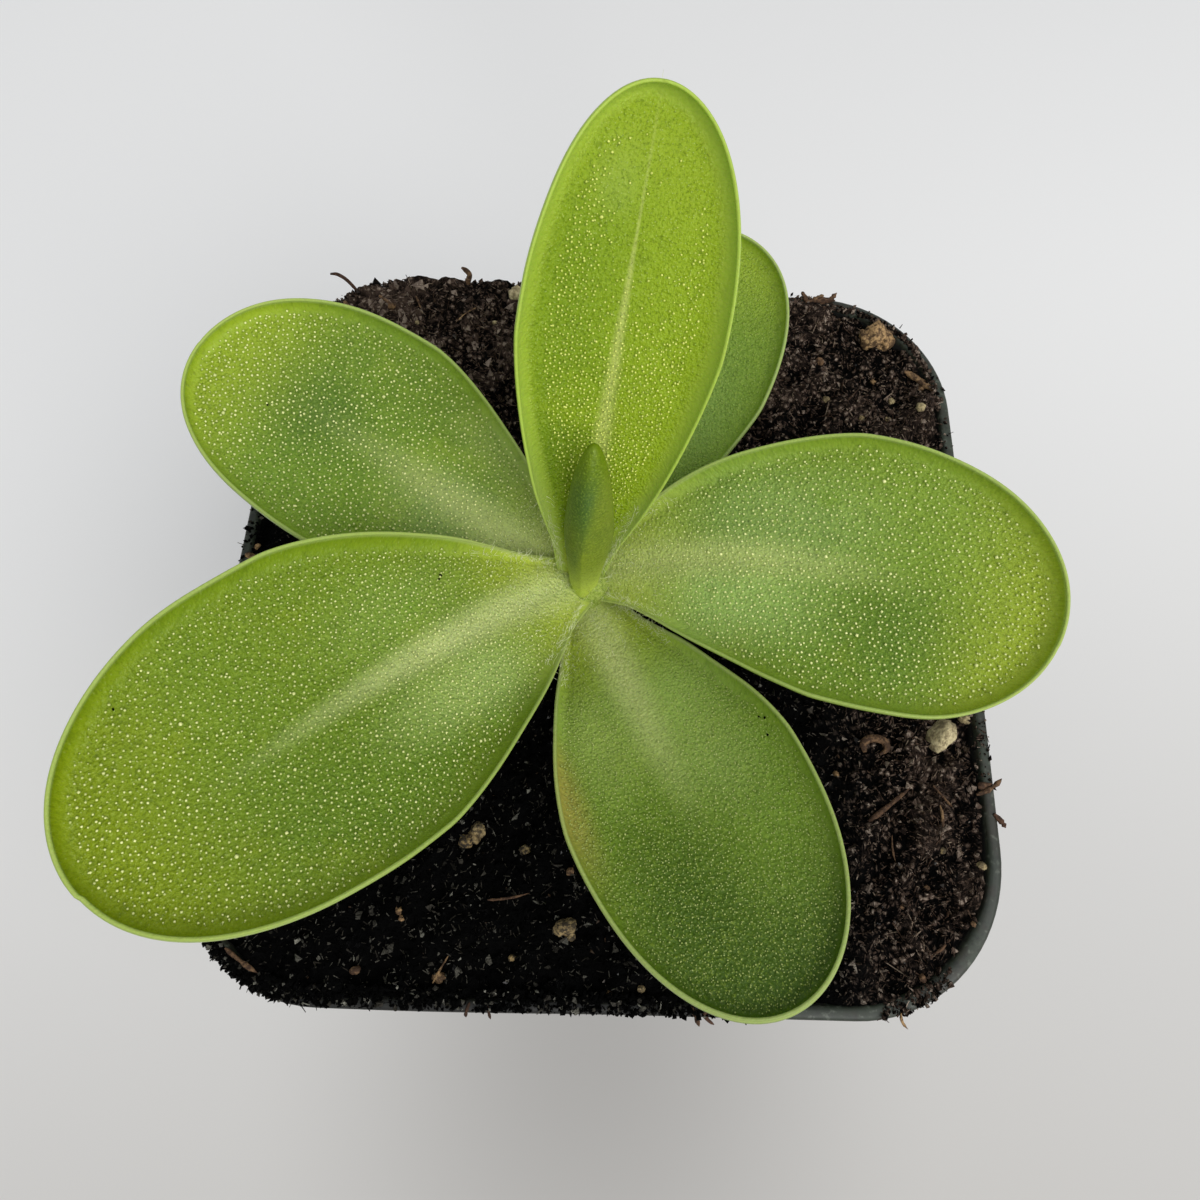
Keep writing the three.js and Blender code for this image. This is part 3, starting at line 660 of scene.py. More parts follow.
def perlite():
    """Perlite: expanded volcanic glass, a chalky cream foam pitted and stained brown by peat."""
    made, tree = empty_material("perlite")
    place = add(tree, "TexCoord").outputs["Object"]
    tint = add(tree, "Attribute", TINT).outputs["Fac"]
    stain = add(tree, "TexNoise", Vector=place, Scale=1100.0, Detail=4.0, Roughness=0.75)
    pits = add(tree, "TexNoise", Vector=place, Scale=2600.0, Detail=2.0, Roughness=0.6)
    grimy = add(tree, "MapRange", SMOOTH_STEP, Value=tint, i1=0.0, i2=0.7, i3=0.9, i4=0.2)
    colour = coats(tree, "#90794e", [
        ("#44361f", stain, 0.42, 0.68, 0.0, 1.0),
        ("#d6c89c", stain, 0.4, 0.6, 1.0, 0.3, tint),
        ("#1c1610", pits, 0.43, 0.57, 0.0, 1.0, grimy),
    ])
    bump = add(tree, "Bump", Strength=0.8, Distance=0.0003, Height=pits)
    return finished(made, Base_Color=colour, Normal=bump, IOR=1.5, Roughness=0.85)


def bark(name, dark, brown, light):
    """Bark and wood scraps: brown, fibrous and matt, from nearly black to straw."""
    made, tree = empty_material(name)
    place = add(tree, "TexCoord").outputs["Object"]
    tint = add(tree, "Attribute", TINT).outputs["Fac"]
    streak = add(tree, "TexNoise", Vector=place, Scale=1500.0, Detail=4.0, Roughness=0.75)
    colour = coats(tree, brown, [(light, tint), (dark, streak, 0.41, 0.61, 0.9, 0.0)])
    bump = add(tree, "Bump", Strength=0.9, Distance=0.0003, Height=streak)
    return finished(made, Base_Color=colour, Normal=bump, IOR=1.45, Roughness=0.75,
                    Specular_IOR_Level=0.3)


def pot_polypropylene():
    """Injection-moulded polypropylene, dark grey-green: satin, lightly dusty, finely pitted and stained
    by dried peat along its rim. Inside, it is painted near black, as painted shade in the gap between
    the soil and the wall, and the top of the rim is nearly black along the front from the left corner
    to a little right of the middle."""
    made, tree = empty_material("pot_polypropylene")
    place = add(tree, "TexCoord").outputs["Object"]
    inside = add(tree, "Attribute", {"attribute_name": "inside"}).outputs["Fac"]
    across, back, height = add(tree, "SeparateXYZ", Vector=place).outputs
    dust = add(tree, "TexNoise", Vector=place, Scale=90.0, Detail=5.0, Roughness=0.65)
    stain = add(tree, "TexNoise", Vector=place, Scale=330.0, Detail=5.0, Roughness=0.7)
    grit = add(tree, "TexNoise", Vector=place, Scale=1400.0, Detail=2.0)
    near_rim = add(tree, "MapRange", SMOOTH_STEP, Value=height, i1=0.07, i2=0.0815, i3=0.0, i4=0.55)
    worn = add(tree, "MapRange", SMOOTH_STEP, Value=height, i1=0.074, i2=0.0815, i3=0.22, i4=1.0)
    at_front = add(tree, "MapRange", SMOOTH_STEP, Value=back, i1=-0.0395, i2=-0.042)
    at_left = add(tree, "MapRange", SMOOTH_STEP, Value=across, i1=0.021, i2=0.016)
    colour = coats(tree, "#2b3229", [
        ("#4b5447", dust, 0.42, 0.75, 0.0, 0.55),
        ("#2c251e", stain, 0.46, 0.6, 0.0, 1.0, near_rim),
        ("#767c70", grit, 0.56, 0.74, 0.0, 0.4, worn),
        ("#151915", grit, 0.46, 0.3, 0.0, 0.5, worn),
        ("#0a0907", height, 0.0795, 0.0812, 0.0, 0.92, at_front, at_left),
        # Painted shade: the inner wall nearly black, for the shade in the gap between soil and wall.
        ("#060505", add(tree, "Math", TIMES, i0=inside, i1=0.9)),
    ])
    dusty = add(tree, "MapRange", SMOOTH_STEP, Value=dust, i1=0.35, i2=0.7, i3=0.38, i4=0.62)
    rough = add(tree, "Math", {"operation": "MAXIMUM"}, i0=dusty, i1=inside)
    bump = add(tree, "Bump", Strength=0.25, Distance=0.00006, Height=grit)
    return finished(made, Base_Color=colour, Roughness=rough, Normal=bump, IOR=1.49)


# ---------------------------------------------------------------- pot


def outer_half(z):
    """Half the side of the pot's outer wall at a height: a straight taper up to the rim band."""
    under_rim = RIM_HALF - RIM_STEP - RIM_TUCK
    return FOOT_SIDE / 2 + (under_rim - FOOT_SIDE / 2) * z / POT_HEIGHT


def square_ring(half):
    """A rounded square about the origin, anticlockwise from the middle of its right side: straight
    stretches and an arc at each corner, whose radius grows with the square."""
    shrunk = (FOOT_CORNER - RIM_CORNER) * (RIM_HALF - half)
    corner = RIM_CORNER + shrunk / (RIM_HALF - FOOT_SIDE / 2)
    straight = half - corner
    up = np.linspace(0, straight, SIDE_STEPS, endpoint=False)
    turn = np.linspace(0, np.pi / 2, CORNER_STEPS, endpoint=False)
    quarter = np.vstack([
        np.stack([np.full_like(up, half), up], -1),
        np.stack([straight + corner * np.cos(turn), straight + corner * np.sin(turn)], -1),
        np.stack([straight - up, np.full_like(up, half)], -1),
    ])
    turns = [np.array([[c, s], [-s, c]]) for c, s in ((1, 0), (0, 1), (-1, 0), (0, -1))]
    return np.vstack([quarter @ t for t in turns])


def arc(centre, radius, start, stop, steps):
    """Points of an arc in a profile, as half side and height pairs, between two angles."""
    angle = np.radians(np.linspace(start, stop, steps))
    return [(centre[0] + radius * math.cos(a), centre[1] + radius * math.sin(a)) for a in angle]


def inner_wall():
    """The inner wall's corners, from the rim down to the floor."""
    band = POT_HEIGHT - RIM_BAND
    return [
        (MOUTH_HALF, POT_HEIGHT),
        (outer_half(band) + RIM_STEP - SHOULDER_WALL, band + SHOULDER_RISE),
        (outer_half(band) - WALL, band - SHOULDER_RISE),
        (outer_half(POT_FLOOR) - WALL, POT_FLOOR),
    ]


def build_pot(material):
    """Profile carried round the rounded square: up the outside, over the rim and down the inside.
    The bottom's two faces are rulings from each drain hole's circle out to the quarter's edge."""
    band = POT_HEIGHT - RIM_BAND
    inside = inner_wall()
    outside = [
        (FOOT_SIDE / 2 - FOOT_BEVEL, 0.0),
        (FOOT_SIDE / 2 - 0.35 * FOOT_BEVEL, 0.35 * FOOT_BEVEL),
        *[(outer_half(z), z) for z in np.linspace(FOOT_BEVEL, band - 0.4, 12)],
        *arc((outer_half(band) + RIM_STEP - BAND_ROUND, band + BAND_ROUND), BAND_ROUND, -70, 0, 4),
        *[(RIM_HALF - BAND_TAPER * (1 - s), band + 0.8 + (RIM_BAND - 1.6) * s)
          for s in (0.2, 0.5, 0.8, 1)],
        *arc((RIM_HALF - RIM_ROUND, POT_HEIGHT - RIM_ROUND), RIM_ROUND, 10, 90, 5),
        *arc((inside[0][0] + RIM_ROUND, POT_HEIGHT - RIM_ROUND), RIM_ROUND, 90, 180, 5),
    ]
    damp = POT_HEIGHT - RIM_ROUND - 0.25
    within = [
        (float(wall_at(damp)), damp),
        (inside[1][0] + 0.05, inside[1][1] + 1.0),
        inside[1],
        inside[2],
        *[(outer_half(z) - WALL, z) for z in np.linspace(inside[2][1] - 1, POT_FLOOR + 0.6, 8)],
        (inside[3][0] - 0.5, POT_FLOOR),
    ]
    profile = outside + within
    rings = np.stack([np.column_stack([square_ring(h), np.full(len(square_ring(h)), z)])
                      for h, z in profile])
    bow = WALL_BOW * noise(rings[..., 0] + 200, rings[..., 1] + 3 * rings[..., 2], 26.0, 5)
    outward = unit(rings * [1, 1, 0])
    rings += outward * (bow * smooth(rings[..., 2], 2, 30))[..., None]
    count = rings.shape[1]
    index = np.arange(rings.shape[0] * count).reshape(-1, count)
    points, faces = [rings.reshape(-1, 3)], [grid_faces(closed_grid(index.T))[:, ::-1]]
    shades = [np.repeat(np.arange(len(profile)) >= len(outside), count)]
    start = index.size
    quarter = count // 4
    for corner in range(4):
        pick = (np.arange(quarter + 1) + corner * quarter) % count
        turn = math.pi / 2 * corner + math.pi / 4
        middle = np.array([math.copysign(DRAIN_OFFSET, math.cos(turn)),
                           math.copysign(DRAIN_OFFSET, math.sin(turn))])
        holes = []
        for level, z in ((0, 0.0), (-1, POT_FLOOR)):
            edge = rings[level, pick]
            spokes = np.linspace(0, 1, 12, endpoint=False)[1:, None]
            home = np.array([0, 0, z])
            border = np.vstack([edge, edge[-1] + (home - edge[-1]) * spokes, [home],
                                home + (edge[0] - home) * spokes])
            aim = unit(border[:, :2] - middle)
            hole = np.column_stack([middle + DRAIN_RADIUS * aim, np.full(len(border), z)])
            points += [border, hole]
            total = len(border)
            shades.append(np.full(2 * total, level < 0))
            grid = start + np.arange(2 * total).reshape(2, total)
            sheet = grid_faces(closed_grid(grid.T))
            faces.append(sheet if level == 0 else sheet[:, ::-1])
            holes.append(grid[1])
            start += 2 * total
        faces.append(grid_faces(closed_grid(np.stack(holes).T)))
    everything, faces, first = welded(np.vstack(points), faces)
    inside = np.concatenate(shades)[first].astype(float)
    return mesh_piece("pot_shell", everything, faces, material, "pot",
                      {"inside": inside})


def welded(points, faces):
    """Points that lie together made one, the faces that point at them, and which were kept."""
    _, first, same = np.unique(np.round(points, 4), axis=0, return_index=True, return_inverse=True)
    return points[first], [same.ravel()[f] for f in faces], first


# ---------------------------------------------------------------- soil


def soil_level(x, y):
    """The soil's height before its crumbs: level, heaped towards the back left wall, low by the
    right wall, and lumpy."""
    back_left = smooth(y / RIM_HALF, 0.55, 0.95) * smooth(-x / RIM_HALF, -0.25, 0.2)
    right = smooth(x / RIM_HALF, 0.55, 0.95)
    lumps = (np.sin(0.61 * x + 1.3) * np.sin(0.53 * y + 0.4) + 0.6 * np.sin(1.13 * x - 0.7 * y)
             + 0.4 * np.sin(0.9 * y + 1.7 * x + 2.0))
    return POT_HEIGHT - SOIL_DROP + SOIL_HEAP * back_left - SOIL_DIP * right + SOIL_LUMP * lumps


def soil_relief(x, y):
    """Clods, crumbs and grit over the soil's level: noise of smaller and smaller cells, with the
    sharper side of the noise up so that crumbs stand apart."""
    clods = 0.6 * noise(x, y, 4.6, 11) + 0.55 * noise(x, y, 2.4, 12)
    crumbs = 0.6 * np.abs(noise(x, y, 1.4, 13)) + 0.5 * np.abs(noise(x + y, x - y, 1.0, 14))
    return clods + crumbs + 0.3 * noise(x, y, 0.6, 15) - 0.15


def soil_height(x, y):
    """The soil's surface."""
    return soil_level(x, y) + soil_relief(x, y)


def heaped(x, y):
    """The share of the heap at a place: full at the back left and gone past its foot."""
    return smooth(y, 24, 38) * smooth(-x, -10, 6)


def wall_gap(x, y):
    """How far the soil keeps from the wall: it has shrunk away from it along the right side."""
    return SOIL_GAP + 0.5 * smooth(x, 34, 41) * (0.6 + 0.4 * noise(x + 90, y + 90, 9.0, 17))


def soil_dry_and_painted_light(x, y):
    """How light the peat is drawn: lighter to the back and right, where it dries, and most of all on
    the heap, and darker in its hollows than where it stands up. Besides the dryness this is painted
    light and shade: the front is painted darker for the shade of the leaves, the hollows as painted
    shade, and the heap lighter as painted light."""
    dryness_and_painted_light = np.maximum(0.1 + 0.9 * smooth(y, 0, 28), 0.95 * smooth(x, 20, 34))
    return (dryness_and_painted_light + 0.7 * heaped(x, y)) * (0.35 + 0.65 * smooth(soil_relief(x, y), -0.1, 1.0))


def flecks(rng, light, share):
    """How pale each scrap of peat is: dark for most, by how light the peat is around it, middling for a
    share of them, and a few in a hundred pale wherever they lie, as painted glints of wet peat."""
    middling = rng.uniform(size=len(light)) < share
    plain = light * rng.uniform(0.1, 0.75, len(light))
    tint = np.where(middling, rng.uniform(0.4, 1.1, len(light)) * (0.75 + 0.25 * light), plain)
    # The few pale ones: painted glints.
    return np.where(rng.uniform(size=len(light)) < 0.03, rng.uniform(0.6, 1.3, len(light)), tint) - 0.04


def wall_at(z):
    """Half the inner side of the pot at a height near its rim."""
    (rim_half, rim_z), (band_half, band_z) = inner_wall()[:2]
    return band_half + (rim_half - band_half) * (np.minimum(z, rim_z) - band_z) / (rim_z - band_z)


def soil_edge():
    """The soil's outline at the wall, which follows the wall's slope down where the soil is low."""
    ring = square_ring(MOUTH_HALF)
    share = (wall_at(soil_height(*ring.T)) - wall_gap(*ring.T)) / MOUTH_HALF
    return ring * share[:, None]


def in_thirds(ring):
    """A closed ring with two more points in each of its stretches, at its thirds."""
    step = np.roll(ring, -1, axis=0) - ring
    dense = np.repeat(ring, 3, axis=0)
    dense[1::3] += step / 3
    dense[2::3] += step * 2 / 3
    return dense


def build_soil(material):
    """Rings of the soil's outline shrunk towards the middle and lifted to its surface, and below
    them the wall's own sections down to the pot's floor."""
    shares = (1 - np.arange(SOIL_RINGS) / SOIL_RINGS)[:, None, None]
    flat = in_thirds(soil_edge())[None] * shares
    top = np.concatenate([flat, soil_height(flat[..., 0], flat[..., 1])[..., None]], -1)
    walls = []
    for half, z in inner_wall()[:0:-1]:
        level = in_thirds(square_ring(half - SOIL_GAP))
        walls.append(np.column_stack([level, np.full(len(level), z)]))
    rings = np.concatenate([np.stack(walls), top])
    index = np.arange(rings.shape[0] * rings.shape[1]).reshape(rings.shape[:2])
    middles = np.array([[0, 0, POT_FLOOR], [0, 0, soil_height(np.zeros(1), np.zeros(1))[0]]])
    points = np.vstack([rings.reshape(-1, 3), middles])
    # Paler to the back and right, on the heap and where the soil stands up: partly the peat's dryness,
    # partly painted light and shade.
    tint = 0.3 * soil_dry_and_painted_light(points[:, 0], points[:, 1]) - 0.12
    return mesh_piece("soil_bed", points, capped_faces(index), material, "soil",
                      {"tint": tint})


def inside_pot(rng, count, clear):
    """Places drawn evenly over the soil, clear of the wall by so much."""
    half = MOUTH_HALF - clear
    corner = RIM_CORNER - RIM_LIP - clear
    place = rng.uniform(-half, half, (3 * count, 2))
    past = np.maximum(np.abs(place) - (half - corner), 0)
    place = place[np.hypot(*past.T) < corner][:count]
    limit = wall_at(soil_level(*place.T)) - clear - wall_gap(*place.T) + SOIL_GAP
    return place * (limit / half)[:, None]


def on_soil(place, sunk):
    """Places on the soil's surface, sunk into it by so much."""
    return np.column_stack([place, soil_height(*place.T) - sunk])


def build_crumbs(name, count, seed, material, largest):
    """Loose peat crumbs: uneven six-sided grains, mostly fine, half sunk in the surface, and
    coarser on the heap."""
    rng = np.random.default_rng(seed)
    place = inside_pot(rng, count, 0.35)
    light = soil_dry_and_painted_light(*place.T)
    size = (0.08 + largest * rng.power(0.4, len(place))) * (1 + 0.35 * heaped(*place.T))
    sizes = size[:, None] * rng.uniform(0.4, 1.4, (len(place), 3))
    points, faces = scattered_balls(rng, on_soil(place, 0.25 * size), sizes, 3, 2, 0.35)
    tint = flecks(rng, light, 0.28)
    return mesh_piece(name, points, faces, material, rounded=False,
                      fields={"tint": spread(tint, points)})


def bent_paths(rng, starts, lengths, steps, rise):
    """Paths from their starts: each heads one way over the ground, turns slowly as it goes, and
    rises or falls a little. Each point is the last plus a step ahead."""
    count = len(starts)
    way = rng.uniform(0, 2 * np.pi, count)
    bend = rng.normal(0, 1.0, count)
    angle = way[:, None] + bend[:, None] * np.linspace(0, 1, steps)
    climb = rise * rng.normal(0, 1, (count, 1))
    ahead = np.stack([np.cos(angle), np.sin(angle), climb + 0 * angle], -1)
    hops = ahead[:, :-1] * (lengths / (steps - 1))[:, None, None]
    return starts[:, None] + np.concatenate([np.zeros((count, 1, 3)), np.cumsum(hops, 1)], 1)


def build_fibres(material):
    """Peat fibres: fine three-sided needles, nearly straight, lying every way on the soil with one end
    a little up. Most are short and dark; long ones lie where the peat is drawn lighter, which is partly
    its dryness and partly painted light."""
    rng = np.random.default_rng(22)
    place = inside_pot(rng, NEEDLE_COUNT, 0.9)
    lengths = 0.2 + 0.6 * rng.power(0.5, len(place))
    long_share = 0.16 * soil_dry_and_painted_light(*place.T)
    lengths = lengths * np.where(rng.uniform(size=len(place)) < long_share, 3.2, 1.0)
    paths = bent_paths(rng, np.column_stack([place, np.zeros(len(place))]), lengths, 2, 0.15)
    reach = np.abs(paths[..., :2]).max((1, 2)) < MOUTH_HALF - 0.6
    paths = paths[reach]
    ground = soil_height(paths[..., 0], paths[..., 1])
    tilt = rng.uniform(-0.35, 0.35, (len(paths), 1)) * np.array([-1, 1])
    paths[..., 2] = ground + 0.12 + tilt * np.minimum(lengths[reach][:, None], 1.2)
    thick = rng.uniform(0.045, 0.13, (len(paths), 1)) * np.array([1, 0.5])
    points, faces = tubes(paths, thick, 3)
    tint = flecks(rng, soil_dry_and_painted_light(paths[:, 0, 0], paths[:, 0, 1]), 0.5)
    return mesh_piece("peat_fibres", points, faces, material,
                      fields={"tint": spread(tint, points)})


def rim_place(rng, along_from, along_to, side, count, inner):
    """Places on the rim's flat top along one side of the pot, each as far along the side and in
    over its width, past the share inner, as a random draw. Sides count anticlockwise from the
    right."""
    along = rng.uniform(along_from, along_to, count)
    out = RIM_HALF - RIM_LIP * rng.uniform(inner, 1.5, count)
    inset = np.maximum(np.abs(along) - (RIM_HALF - RIM_CORNER), 0)
    out = out - (RIM_CORNER - np.sqrt(RIM_CORNER ** 2 - np.minimum(inset, RIM_CORNER) ** 2))
    flat = np.stack([out, along], -1)
    turn = math.pi / 2 * side
    return flat @ np.array([[math.cos(turn), math.sin(turn)], [-math.sin(turn), math.cos(turn)]])


# Peat spilt on the rim: the side, the stretch along it, crumbs to each millimetre of it, how high
# they pile, and the share of the rim's width they keep inside. Sides count anticlockwise from the
# right.
SPILLS = [
    (3, -43.5, -20.9, 44, 0.4, 0.1), (3, -20.1, -12.4, 44, 0.4, 0.1), (3, -11.6, 17.0, 44, 0.45, 0.1),
    (3, 30.0, 37.5, 26, 0.3, 0.1), (0, -21.0, -11.5, 7, 0.25, 0.1), (0, -9.0, 32.0, 2, 0.15, 0.1),
    (1, 3.5, 43.5, 42, 0.9, 0.1), (1, -42.0, -29.0, 2, 0.15, 0.1), (1, -27.0, -24.0, 28, 0.5, 0.1),
    (1, -41.0, -20.0, 30, 0.2, 0.85), (1, -20.0, 3.5, 12, 0.15, 1.0), (0, 27.0, 40.0, 20, 0.2, 0.9),
    (2, -44.0, -10.0, 22, 0.4, 0.1), (2, -10.0, 12.0, 8, 0.3, 0.1), (2, 12.0, 44.0, 30, 0.4, 0.1),
]


def build_spill(material):
    """Crumbs and short fibres spilt over the rim, piled highest along the middle of its width."""
    rng = np.random.default_rng(23)
    place, lift = [], []
    for side, first, last, dense, pile, inner in SPILLS:
        count = int(dense * (last - first))
        place.append(rim_place(rng, first, last, side, count, inner))
        lift.append(POT_HEIGHT + pile * rng.power(1.3, count))
    place, lift = np.vstack(place), np.concatenate(lift)
    size = 0.1 + 0.34 * rng.power(0.4, len(place))
    sizes = size[:, None] * rng.uniform(0.45, 1.3, (len(place), 3))
    centres = np.column_stack([place, lift])
    crumbs, crumb_faces = scattered_balls(rng, centres, sizes, 4, 2, 0.3)
    tint = flecks(rng, soil_dry_and_painted_light(*place.T), 0.1)
    some = rng.uniform(size=len(place)) < 0.09
    lengths = rng.uniform(0.3, 0.9, some.sum())
    paths = bent_paths(rng, centres[some], lengths, 2, 0.03)
    thick = rng.uniform(0.05, 0.12, (some.sum(), 1)) * np.array([1, 0.6])
    fibres, fibre_faces = tubes(paths, thick, 3)
    points, faces, tint = joined([(crumbs, crumb_faces, spread(tint, crumbs)),
                                  (fibres, fibre_faces, spread(1.5 * tint[some], fibres))])
    return mesh_piece("rim_crumbs", points, faces, material, rounded=False,
                      fields={"tint": tint})


# Grains and scraps that stand out on the soil: x, y and half size, then how pale each is.
PERLITE_GRAINS = [
    (-13.6, 40.9, 0.95, 1.0), (38.9, -15.2, 1.8, 0.95), (42.2, -13.2, 0.8, 0.6),
    (28.3, 28.4, 0.55, 0.35), (37.0, 28.6, 0.55, 0.5), (40.3, 26.8, 0.6, 0.5),
    (32.8, 25.6, 0.5, 0.2), (36.4, 26.0, 0.4, 0.2), (-16.2, 36.8, 0.34, 0.7),
    (-24.6, 33.0, 0.45, 0.3), (-14.0, -28.2, 0.7, 0.0), (38.0, -27.7, 0.36, 0.2),
    (42.2, -29.1, 0.5, 0.4), (-8.1, -39.5, 0.4, 0.0), (5.4, -41.9, 0.35, 0.2),
    (-26.5, 36.1, 0.28, 0.6), (-33.0, 35.2, 0.3, 0.4), (24.0, -33.9, 0.28, 0.4),
    (-7.4, -29.0, 0.6, 0.15), (-13.2, -27.5, 1.0, 0.1), (-12.7, -27.0, 0.7, 0.2),
    (-2.7, -36.4, 1.1, 0.1), (-2.2, -37.2, 0.7, 0.15),
]
TAN_SCRAPS = [
    (35.6, 38.2, 2.0, 1.0), (37.0, 37.9, 1.3, 0.9), (34.6, 38.8, 1.2, 1.0), (35.9, 39.4, 1.1, 0.9),
    (26.8, -20.0, 0.5, 0.5), (-20.2, -35.3, 0.4, 0.7), (-19.9, -36.0, 0.3, 0.6),
    (-15.4, -41.5, 0.6, 0.6), (-43.0, 3.3, 0.5, 0.8), (-42.6, 4.6, 0.4, 0.7),
    (41.4, 30.9, 0.5, 0.4), (-2.5, -31.0, 0.4, 0.4), (33.0, -33.5, 0.3, 0.2), (-30.0, 38.0, 0.5, 0.3),
    (20.5, 36.2, 0.5, 0.4), (27.5, 33.8, 0.6, 0.2), (31.0, 22.5, 0.5, 0.2), (34.8, 31.4, 0.4, 0.5),
    (36.2, -31.5, 0.3, 0.3), (40.2, -34.9, 0.3, 0.3), (34.6, -40.2, 0.35, 0.2),
    (-24.0, -41.0, 0.5, 0.2), (2.2, -42.6, 0.5, 0.3),
]
# Sticks and slivers: from and to, as x, y and height over the soil, or over the rim where they
# reach past it; half width; how pale.
SLIVERS = [
    ((39.2, 33.2, 0.3), (43.4, 29.6, 0.5), 0.55, 0.45),
    ((30.0, -24.9, 0.2), (34.9, -21.2, 0.4), 0.34, 0.1),
    ((38.0, -25.3, 0.2), (37.9, -22.9, 0.3), 0.22, 0.45),
    ((32.9, -29.0, 0.1), (32.7, -26.2, 0.2), 0.13, 0.15),
    ((-37.5, -39.3, 0.2), (-33.7, -41.5, 0.3), 0.3, 0.2),
    ((-11.0, -34.0, 0.2), (-6.6, -33.2, 0.5), 0.16, 0.1),
    ((36.0, -36.0, 0.2), (41.0, -32.0, 0.3), 0.3, 0.05),
    ((35.0, -38.5, 0.2), (38.5, -36.0, 0.4), 0.2, 0.1),
    ((26.2, 43.4, 0.9), (25.5, 44.8, 1.4), 0.4, 0.1),
    ((29.6, 43.6, 0.9), (30.4, 44.8, 1.4), 0.4, 0.2),
    ((26.0, 43.3, 1.0), (30.2, 43.8, 1.0), 0.6, 0.1),
    ((27.0, 43.4, 1.0), (28.6, 44.5, 1.2), 0.5, 0.3),
    ((44.0, -23.7, 0.9), (45.3, -25.1, 0.5), 0.34, 0.0),
    ((42.3, -21.7, 0.9), (45.3, -19.9, 1.1), 0.34, 0.2),
    ((42.5, -20.8, 1.0), (44.2, -20.5, 1.0), 0.4, 0.1),
    ((37.4, -20.9, 0.3), (39.3, -23.2, 0.5), 0.18, 0.2),
    ((-16.0, -42.0, 0.2), (-14.6, -39.4, 0.5), 0.12, 0.5),
    ((10.6, -43.4, 0.9), (11.4, -45.2, 0.5), 0.3, 0.1),
    ((12.0, -43.6, 1.0), (12.9, -45.0, 0.5), 0.3, 0.0),
    ((32.0, -43.4, 0.9), (32.7, -44.9, 0.5), 0.18, 0.8),
    ((-12.0, -43.6, 0.9), (-12.3, -45.0, 0.4), 0.2, 0.0),
    ((-10.4, -43.5, 0.9), (-9.8, -45.1, 0.4), 0.22, 0.0),
    ((-27.0, 40.0, 0.7), (-26.2, 38.2, 0.6), 0.2, 0.35),
    ((-31.5, 39.0, 0.5), (-29.6, 37.6, 0.6), 0.25, 0.3),
    ((-36.5, 38.8, 0.5), (-34.6, 37.4, 0.5), 0.28, 0.4),
    ((-18.5, 38.0, 0.4), (-21.0, 35.4, 0.6), 0.1, 0.9),
    ((-15.4, 42.4, 0.7), (-13.4, 43.7, 1.4), 0.26, 0.0),
    ((-23.2, 43.2, 0.9), (-22.4, 44.2, 1.6), 0.3, 0.2),
    ((-28.0, 43.0, 0.9), (-26.6, 44.2, 1.0), 0.3, 0.3),
    ((-23.4, 42.8, 1.1), (-20.6, 43.2, 1.4), 0.7, 0.25),
]


def build_grains(name, grains, material, ragged):
    """Single grains half sunk in the soil: lumpy balls, flattened a little, each at its place."""
    rng = np.random.default_rng(len(grains))
    x, y, size, tint = np.array(grains).T
    centres = np.column_stack([x, y, soil_height(x, y) + 0.1 * size])
    sizes = size[:, None] * rng.uniform(0.7, 1.25, (len(x), 3))
    points, faces = lumpy_balls(rng, centres, sizes, 18, 12, ragged)
    return mesh_piece(name, points, faces, material,
                      fields={"tint": spread(tint, points)})


def build_slivers(material):
    """Bark slivers and sticks: five-sided tubes between two places, pointed at one end and a
    little bent, with a wandering thickness."""
    rng = np.random.default_rng(24)
    ends = np.array([[a, b] for a, b, _, _ in SLIVERS])
    half = np.array([row[2] for row in SLIVERS])
    ground = soil_height(ends[:, :, 0].mean(1), ends[:, :, 1].mean(1))
    outside = np.abs(ends[..., :2]).max((1, 2)) > MOUTH_HALF
    ends[..., 2] += np.where(outside, POT_HEIGHT - 0.8, ground)[:, None]
    s = np.linspace(0, 1, 9)[None, :, None]
    paths = ends[:, :1] + (ends[:, 1:] - ends[:, :1]) * s
    paths = paths + np.sin(np.pi * s) * rng.normal(0, 0.15, (len(ends), 1, 3)) * [1, 1, 0.4]
    shape = np.interp(s[..., 0], [0, 0.15, 0.8, 1], [0.45, 1, 0.8, 0.12])
    radii = half[:, None] * shape * rng.uniform(0.65, 1.25, (len(ends), 9))
    points, faces = tubes(paths, radii, 5)
    tint = spread([row[3] for row in SLIVERS], points)
    return mesh_piece("bark_slivers", points, faces, material, fields={"tint": tint})


# Curls: a fine root over the back left rim, a curled strip on the heap, and a brown curl on the
# soil. Each is a smooth path through its points, with a half width and how pale it is.
CURLS = [
    ([(-39.2, 43.6, 84.1), (-38.3, 43.5, 84.2), (-37.4, 43.2, 83.9), (-36.6, 42.7, 83.5),
      (-35.8, 42.0, 83.1), (-34.9, 41.4, 82.9)], 0.26, 0.0),
    ([(-20.8, 42.4, 83.4), (-20.4, 43.1, 84.3), (-20.2, 43.6, 84.9), (-20.4, 43.9, 85.3),
      (-20.8, 44.1, 85.6), (-21.2, 44.2, 85.8)], 0.4, 0.2),
    ([(30.2, -17.4, 81.7), (30.0, -16.4, 82.0), (31.0, -15.9, 82.1), (32.3, -16.1, 82.1),
      (32.7, -17.0, 81.9), (31.9, -17.6, 81.7)], 0.5, 0.2),
]


def build_curls(material):
    """Roots and strips: five-sided tubes on a smooth path through the points of each."""
    paths = np.stack([smooth_path(np.array(points), 20) for points, _, _ in CURLS])
    half = np.array([row[1] for row in CURLS])
    radii = half[:, None] * np.interp(np.linspace(0, 1, 20), [0, 0.2, 0.75, 1], [0.6, 1, 0.9, 0.35])
    points, faces = tubes(paths, radii, 5)
    tint = spread([row[2] for row in CURLS], points)
    return mesh_piece("root_curls", points, faces, material, fields={"tint": tint})


